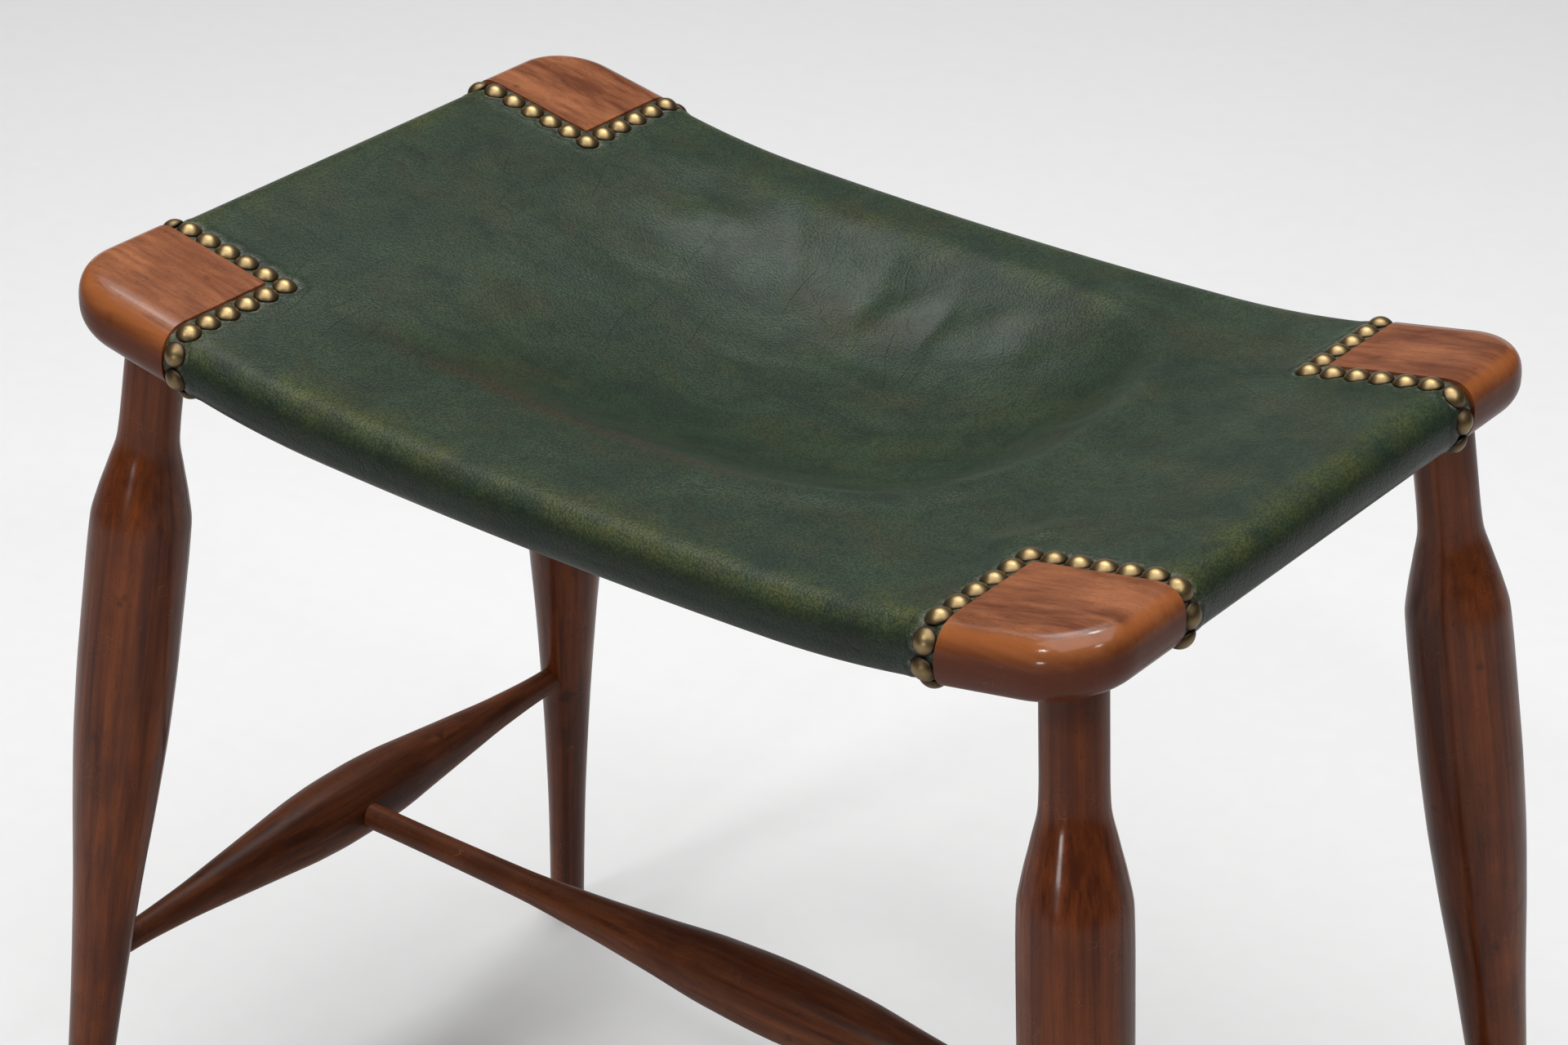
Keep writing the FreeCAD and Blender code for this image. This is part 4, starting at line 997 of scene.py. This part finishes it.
def turned(name, profile, around, matrix, material, level=False):
    """A turned piece about a matrix's Z axis; a level one stands flat on the floor."""
    curve = smooth_profile(profile)
    places = [(0, 0, curve[0][0])]
    for place, radius in curve:
        places += ring(radius, place, around)
    places.append((0, 0, curve[-1][0]))
    vertices = [matrix @ Vector(place) for place in places]
    if level:
        axis = matrix.to_3x3() @ Vector((0, 0, 1))
        for n in range(around + 1):
            vertices[n] -= axis * (vertices[n].z / axis.z)
    faces = lathe_faces(len(curve), around)
    obj = new_object(name, vertices, faces, material, smooth_angle=TURNED_CREASE_ANGLE)
    start = matrix.to_translation()
    shift = Vector((start.x, start.y, start.x * PLANK_SHIFT_X + start.y * PLANK_SHIFT_Y))
    set_grain(obj, [Vector(place) + shift for place in places])
    for tint in ("edge", "shade"):
        set_points(obj, tint, [0.0] * len(places))
    return obj


def mirror(place, side_x, side_y):
    x, y, z = place
    return Vector((side_x * x, side_y * y, z))


LEG_INSET_X, LEG_INSET_Y = 29.9 * MM, 34.5 * MM
LEG_SPREAD_X, LEG_SPREAD_Y = 55.1 * MM, 48.5 * MM
FOOT = (HALF_LENGTH - LEG_INSET_X + LEG_SPREAD_X, HALF_DEPTH - LEG_INSET_Y + LEG_SPREAD_Y, 0.0)
UPWARD = (-LEG_SPREAD_X, -LEG_SPREAD_Y, wood_top(BLOCK_INNER_X))


def leg_frame(side_x, side_y):
    """Matrix that stands the leg's own Z axis along the leg."""
    upward = mirror(UPWARD, side_x, side_y).normalized()
    turn = upward.to_track_quat("Z", "X").to_matrix().to_4x4()
    return Matrix.Translation(mirror(FOOT, side_x, side_y)) @ turn


for side_y, word in SIDES:
    for side_x, hand in HANDS:
        stand = leg_frame(side_x, side_y)
        leg = turned(f"turned_leg_{word}_{hand}", LEG_PROFILE, LEG_SIDES, stand, leg_wood, level=True)
        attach(leg, "root")
        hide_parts(f"leg_{word}_{hand}")

SOCKET_X = FOOT[0] + UPWARD[0] * (STRETCHER_HEIGHT / UPWARD[2])
for side_x, hand in HANDS:
    middle = Matrix.Translation((side_x * SOCKET_X, 0, STRETCHER_HEIGHT))
    along_y = middle @ Matrix.Rotation(RIGHT_ANGLE, 4, "X")
    stretcher = turned(f"turned_side_stretcher_{hand}", SIDE_PROFILE, BAR_SIDES, along_y, stretcher_wood)
    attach(stretcher, "root")
    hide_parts("side_stretcher_" + hand)
along_x = Matrix.Translation((0, 0, STRETCHER_HEIGHT)) @ Matrix.Rotation(RIGHT_ANGLE, 4, "Y")
stretcher = turned("turned_middle_stretcher", MIDDLE_PROFILE, BAR_SIDES, along_x, stretcher_wood)
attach(stretcher, "root")
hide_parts("middle_stretcher")


# Nails and tacks

NAIL_SIDES, NAIL_RINGS, NAIL_SUNK = 28, 9, 0.5 * MM
TACK_SIDES, TACK_RINGS, TACK_SUNK = 20, 4, 0.2 * MM
RIM_POWER = 3
UNDERSIDE_SHARE = 0.97
HEAD_CREASE_ANGLE = 60
# Seeded unevenness of the nails: lean, slip and age
NAIL_SEED = 12
NAIL_LEAN, NAIL_SLIP = 0.045, 0.12 * MM
NAIL_AGE, NAIL_AGE_SPREAD, NAIL_AGE_ON_SIDE = 0.15, 0.3, 0.55
TACK_RADIUS, TACK_RISE, TACK_AGE = 3.2 * MM, 1.1 * MM, 0.5
TACK_EDGE, TACK_END = 9 * MM, 16 * MM
TACKS_LONG, TACKS_SHORT = 11, 6


def head_mesh(radius, rise, around, rings, sunk, matrix):
    """A domed head: vertices, faces, and 0 on its crown to 1 at its rim."""
    ball = (radius ** 2 + rise ** 2) / (2 * rise)
    widest = asin(min(1, radius / ball)) if rise < radius else RIGHT_ANGLE
    places, rim = [(0, 0, rise)], [0.0]
    for n in range(1, rings + 1):
        angle = widest * n / rings
        places += ring(ball * sin(angle), rise - ball * (1 - cos(angle)), around)
        rim += [(n / rings) ** RIM_POWER] * around
    places += ring(radius * UNDERSIDE_SHARE, -sunk, around) + [(0, 0, -sunk)]
    rim += [1.0] * (around + 1)
    return [matrix @ Vector(place) for place in places], lathe_faces(rings + 1, around), rim


def heads(name, places, shape, material):
    """One object with a head at each (place, facing, age)."""
    vertices, faces, rims, ages = [], [], [], []
    for place, facing, age in places:
        matrix = Matrix.Translation(place) @ facing.to_track_quat("Z", "Y").to_matrix().to_4x4()
        new_vertices, new_faces, rim = head_mesh(*shape, matrix)
        faces += [tuple(len(vertices) + n for n in face) for face in new_faces]
        vertices += new_vertices
        rims += rim
        ages += [age] * len(rim)
    obj = new_object(name, vertices, faces, material, smooth_angle=HEAD_CREASE_ANGLE)
    face_outward(obj)
    set_points(obj, "rim", rims)
    set_points(obj, "age", ages)
    return obj


def uneven_nails(dice, side_x, side_y):
    """The nails of one corner, each a little out of line."""
    places = []
    for place, facing in NAIL_PLACES:
        wobble = Vector((dice.uniform(-1, 1), dice.uniform(-1, 1), dice.uniform(-1, 1))) * NAIL_LEAN
        slip = Vector((dice.uniform(-1, 1), dice.uniform(-1, 1), 0)) * NAIL_SLIP
        outward = (mirror(facing, side_x, side_y) + wobble).normalized()
        age = NAIL_AGE + dice.uniform(0, NAIL_AGE_SPREAD) + NAIL_AGE_ON_SIDE * clamp(1 - facing.z)
        places.append((mirror(place, side_x, side_y) + slip, outward, min(1.0, age)))
    return places


dice = random.Random(NAIL_SEED)
nail_shape = (NAIL_RADIUS, NAIL_RISE, NAIL_SIDES, NAIL_RINGS, NAIL_SUNK)
for side_y, word in SIDES:
    for side_x, hand in HANDS:
        nails = heads(f"brass_nails_{word}_{hand}", uneven_nails(dice, side_x, side_y), nail_shape, brass)
        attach(nails, "root")
        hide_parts(f"nails_{word}_{hand}")


def tack_places(long_way, side):
    """The tacks under one rail, near the cut edge of the leather."""
    half_row = (HIDE_HALF_LENGTH if long_way else HIDE_HALF_WIDTH) - TACK_END
    count = TACKS_LONG if long_way else TACKS_SHORT
    half_size = HALF_DEPTH if long_way else HALF_LENGTH
    line = side * (half_size - HIDE_INSET - TUCK_WIDTH + TACK_EDGE)
    row = spread(-half_row, half_row, 2 * half_row / (count - 1))
    places = [(way, line) if long_way else (line, way) for way in row]
    drop = RAIL_THICKNESS - HIDE_INSET
    return [(Vector((x, y, wood_top(x) - drop)), Vector((top_slope(x), 0, -1)).normalized(), TACK_AGE)
            for x, y in places]


# Which way each row of tacks runs, and on which side
TACK_ROWS = (("front", True, -1), ("back", True, 1), ("left", False, -1), ("right", False, 1))
tack_shape = (TACK_RADIUS, TACK_RISE, TACK_SIDES, TACK_RINGS, TACK_SUNK)
for name, long_way, side in TACK_ROWS:
    tacks = heads(f"steel_tacks_{name}", tack_places(long_way, side), tack_shape, steel)
    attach(tacks, "root")
    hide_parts(f"tacks_{name}")

# Pieces of the CAD model that stay
for name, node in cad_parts.items():
    material = dowel_wood if name.startswith("dowels") else end_rail_wood
    if name.startswith("dowels") or name.endswith("end_rail"):
        for material_slot in node.material_slots:
            material_slot.material = material


# Floor

FLOOR_REACH = 8
FLOOR_GRAIN = 0.6 * MM

floor_nodes = Nodes("pale_floor")
grain = floor_nodes.noise(scale=60, detail=4)
pale = floor_nodes.mix(grain, rgb(0.66, 0.66, 0.66), rgb(0.69, 0.69, 0.69))
floor_nodes.set(Base_Color=pale, Roughness=0.9,
                Specular_IOR_Level=0.1, Normal=floor_nodes.bump(grain, FLOOR_GRAIN, 0.25))
floor_corners = [(FLOOR_REACH * x, FLOOR_REACH * y, 0) for x, y in ((-1, -1), (1, -1), (1, 1), (-1, 1))]
floor = new_object("floor", floor_corners, [(0, 1, 2, 3)], floor_nodes.material)


# Light: white all round, and softboxes with place, aim, width, height and power in watts

SEAT_MIDDLE = (0, 0, 0.45)
FRONT_OF_FLOOR = (0.1, -0.2, 0)
SOFTBOXES = (
    ("back_left", (-0.95, 0.7, 2.75), SEAT_MIDDLE, 1.0, 0.8, 13),
    ("back_left_wide", (-0.95, 0.7, 2.85), SEAT_MIDDLE, 2.0, 1.6, 20),
    ("high", (-0.1, 0.75, 2.9), SEAT_MIDDLE, 0.34, 0.28, 11),
    ("overhead", (0.45, -0.4, 3.2), FRONT_OF_FLOOR, 3.6, 3.0, 112),
    ("backdrop", (-2.4, 3.2, 0.45), SEAT_MIDDLE, 4.5, 0.8, 9),
    ("front_high", (-0.45, -1.85, 2.3), SEAT_MIDDLE, 0.36, 0.18, 13),
    ("front_low", (0.1, -2.7, 0.75), SEAT_MIDDLE, 0.36, 0.16, 8),
    ("right", (2.0, -0.55, 2.3), SEAT_MIDDLE, 0.3, 0.18, 8),
)

scene = bpy.context.scene
scene.view_settings.view_transform = "Standard"
world = bpy.data.worlds.new("studio")
scene.world = world
world.use_nodes = True
world.node_tree.nodes["Background"].inputs["Color"].default_value = rgb(1.0, 1.0, 1.0)
world.node_tree.nodes["Background"].inputs["Strength"].default_value = 0.07

for name, place, aim, width, height, power in SOFTBOXES:
    lamp = bpy.data.lights.new(name, "AREA")
    lamp.shape = "RECTANGLE"
    lamp.size, lamp.size_y = width, height
    lamp.energy = power
    softbox = bpy.data.objects.new(name, lamp)
    softbox.location = place
    softbox.rotation_mode = "QUATERNION"
    softbox.rotation_quaternion = (Vector(aim) - Vector(place)).to_track_quat("-Z", "Y")
    scene.collection.objects.link(softbox)


# Camera, with yaw and pitch in degrees

CAMERA_YAW, CAMERA_PITCH = 38.025, 28.352

camera_data = bpy.data.cameras.new("camera")
camera_data.sensor_width = 36
camera_data.lens = 93.57
camera = bpy.data.objects.new("camera", camera_data)
camera.location = (0.8759, -1.1213, 1.1510)
camera.rotation_euler = (RIGHT_ANGLE - radians(CAMERA_PITCH), 0, radians(CAMERA_YAW))
scene.collection.objects.link(camera)
scene.camera = camera
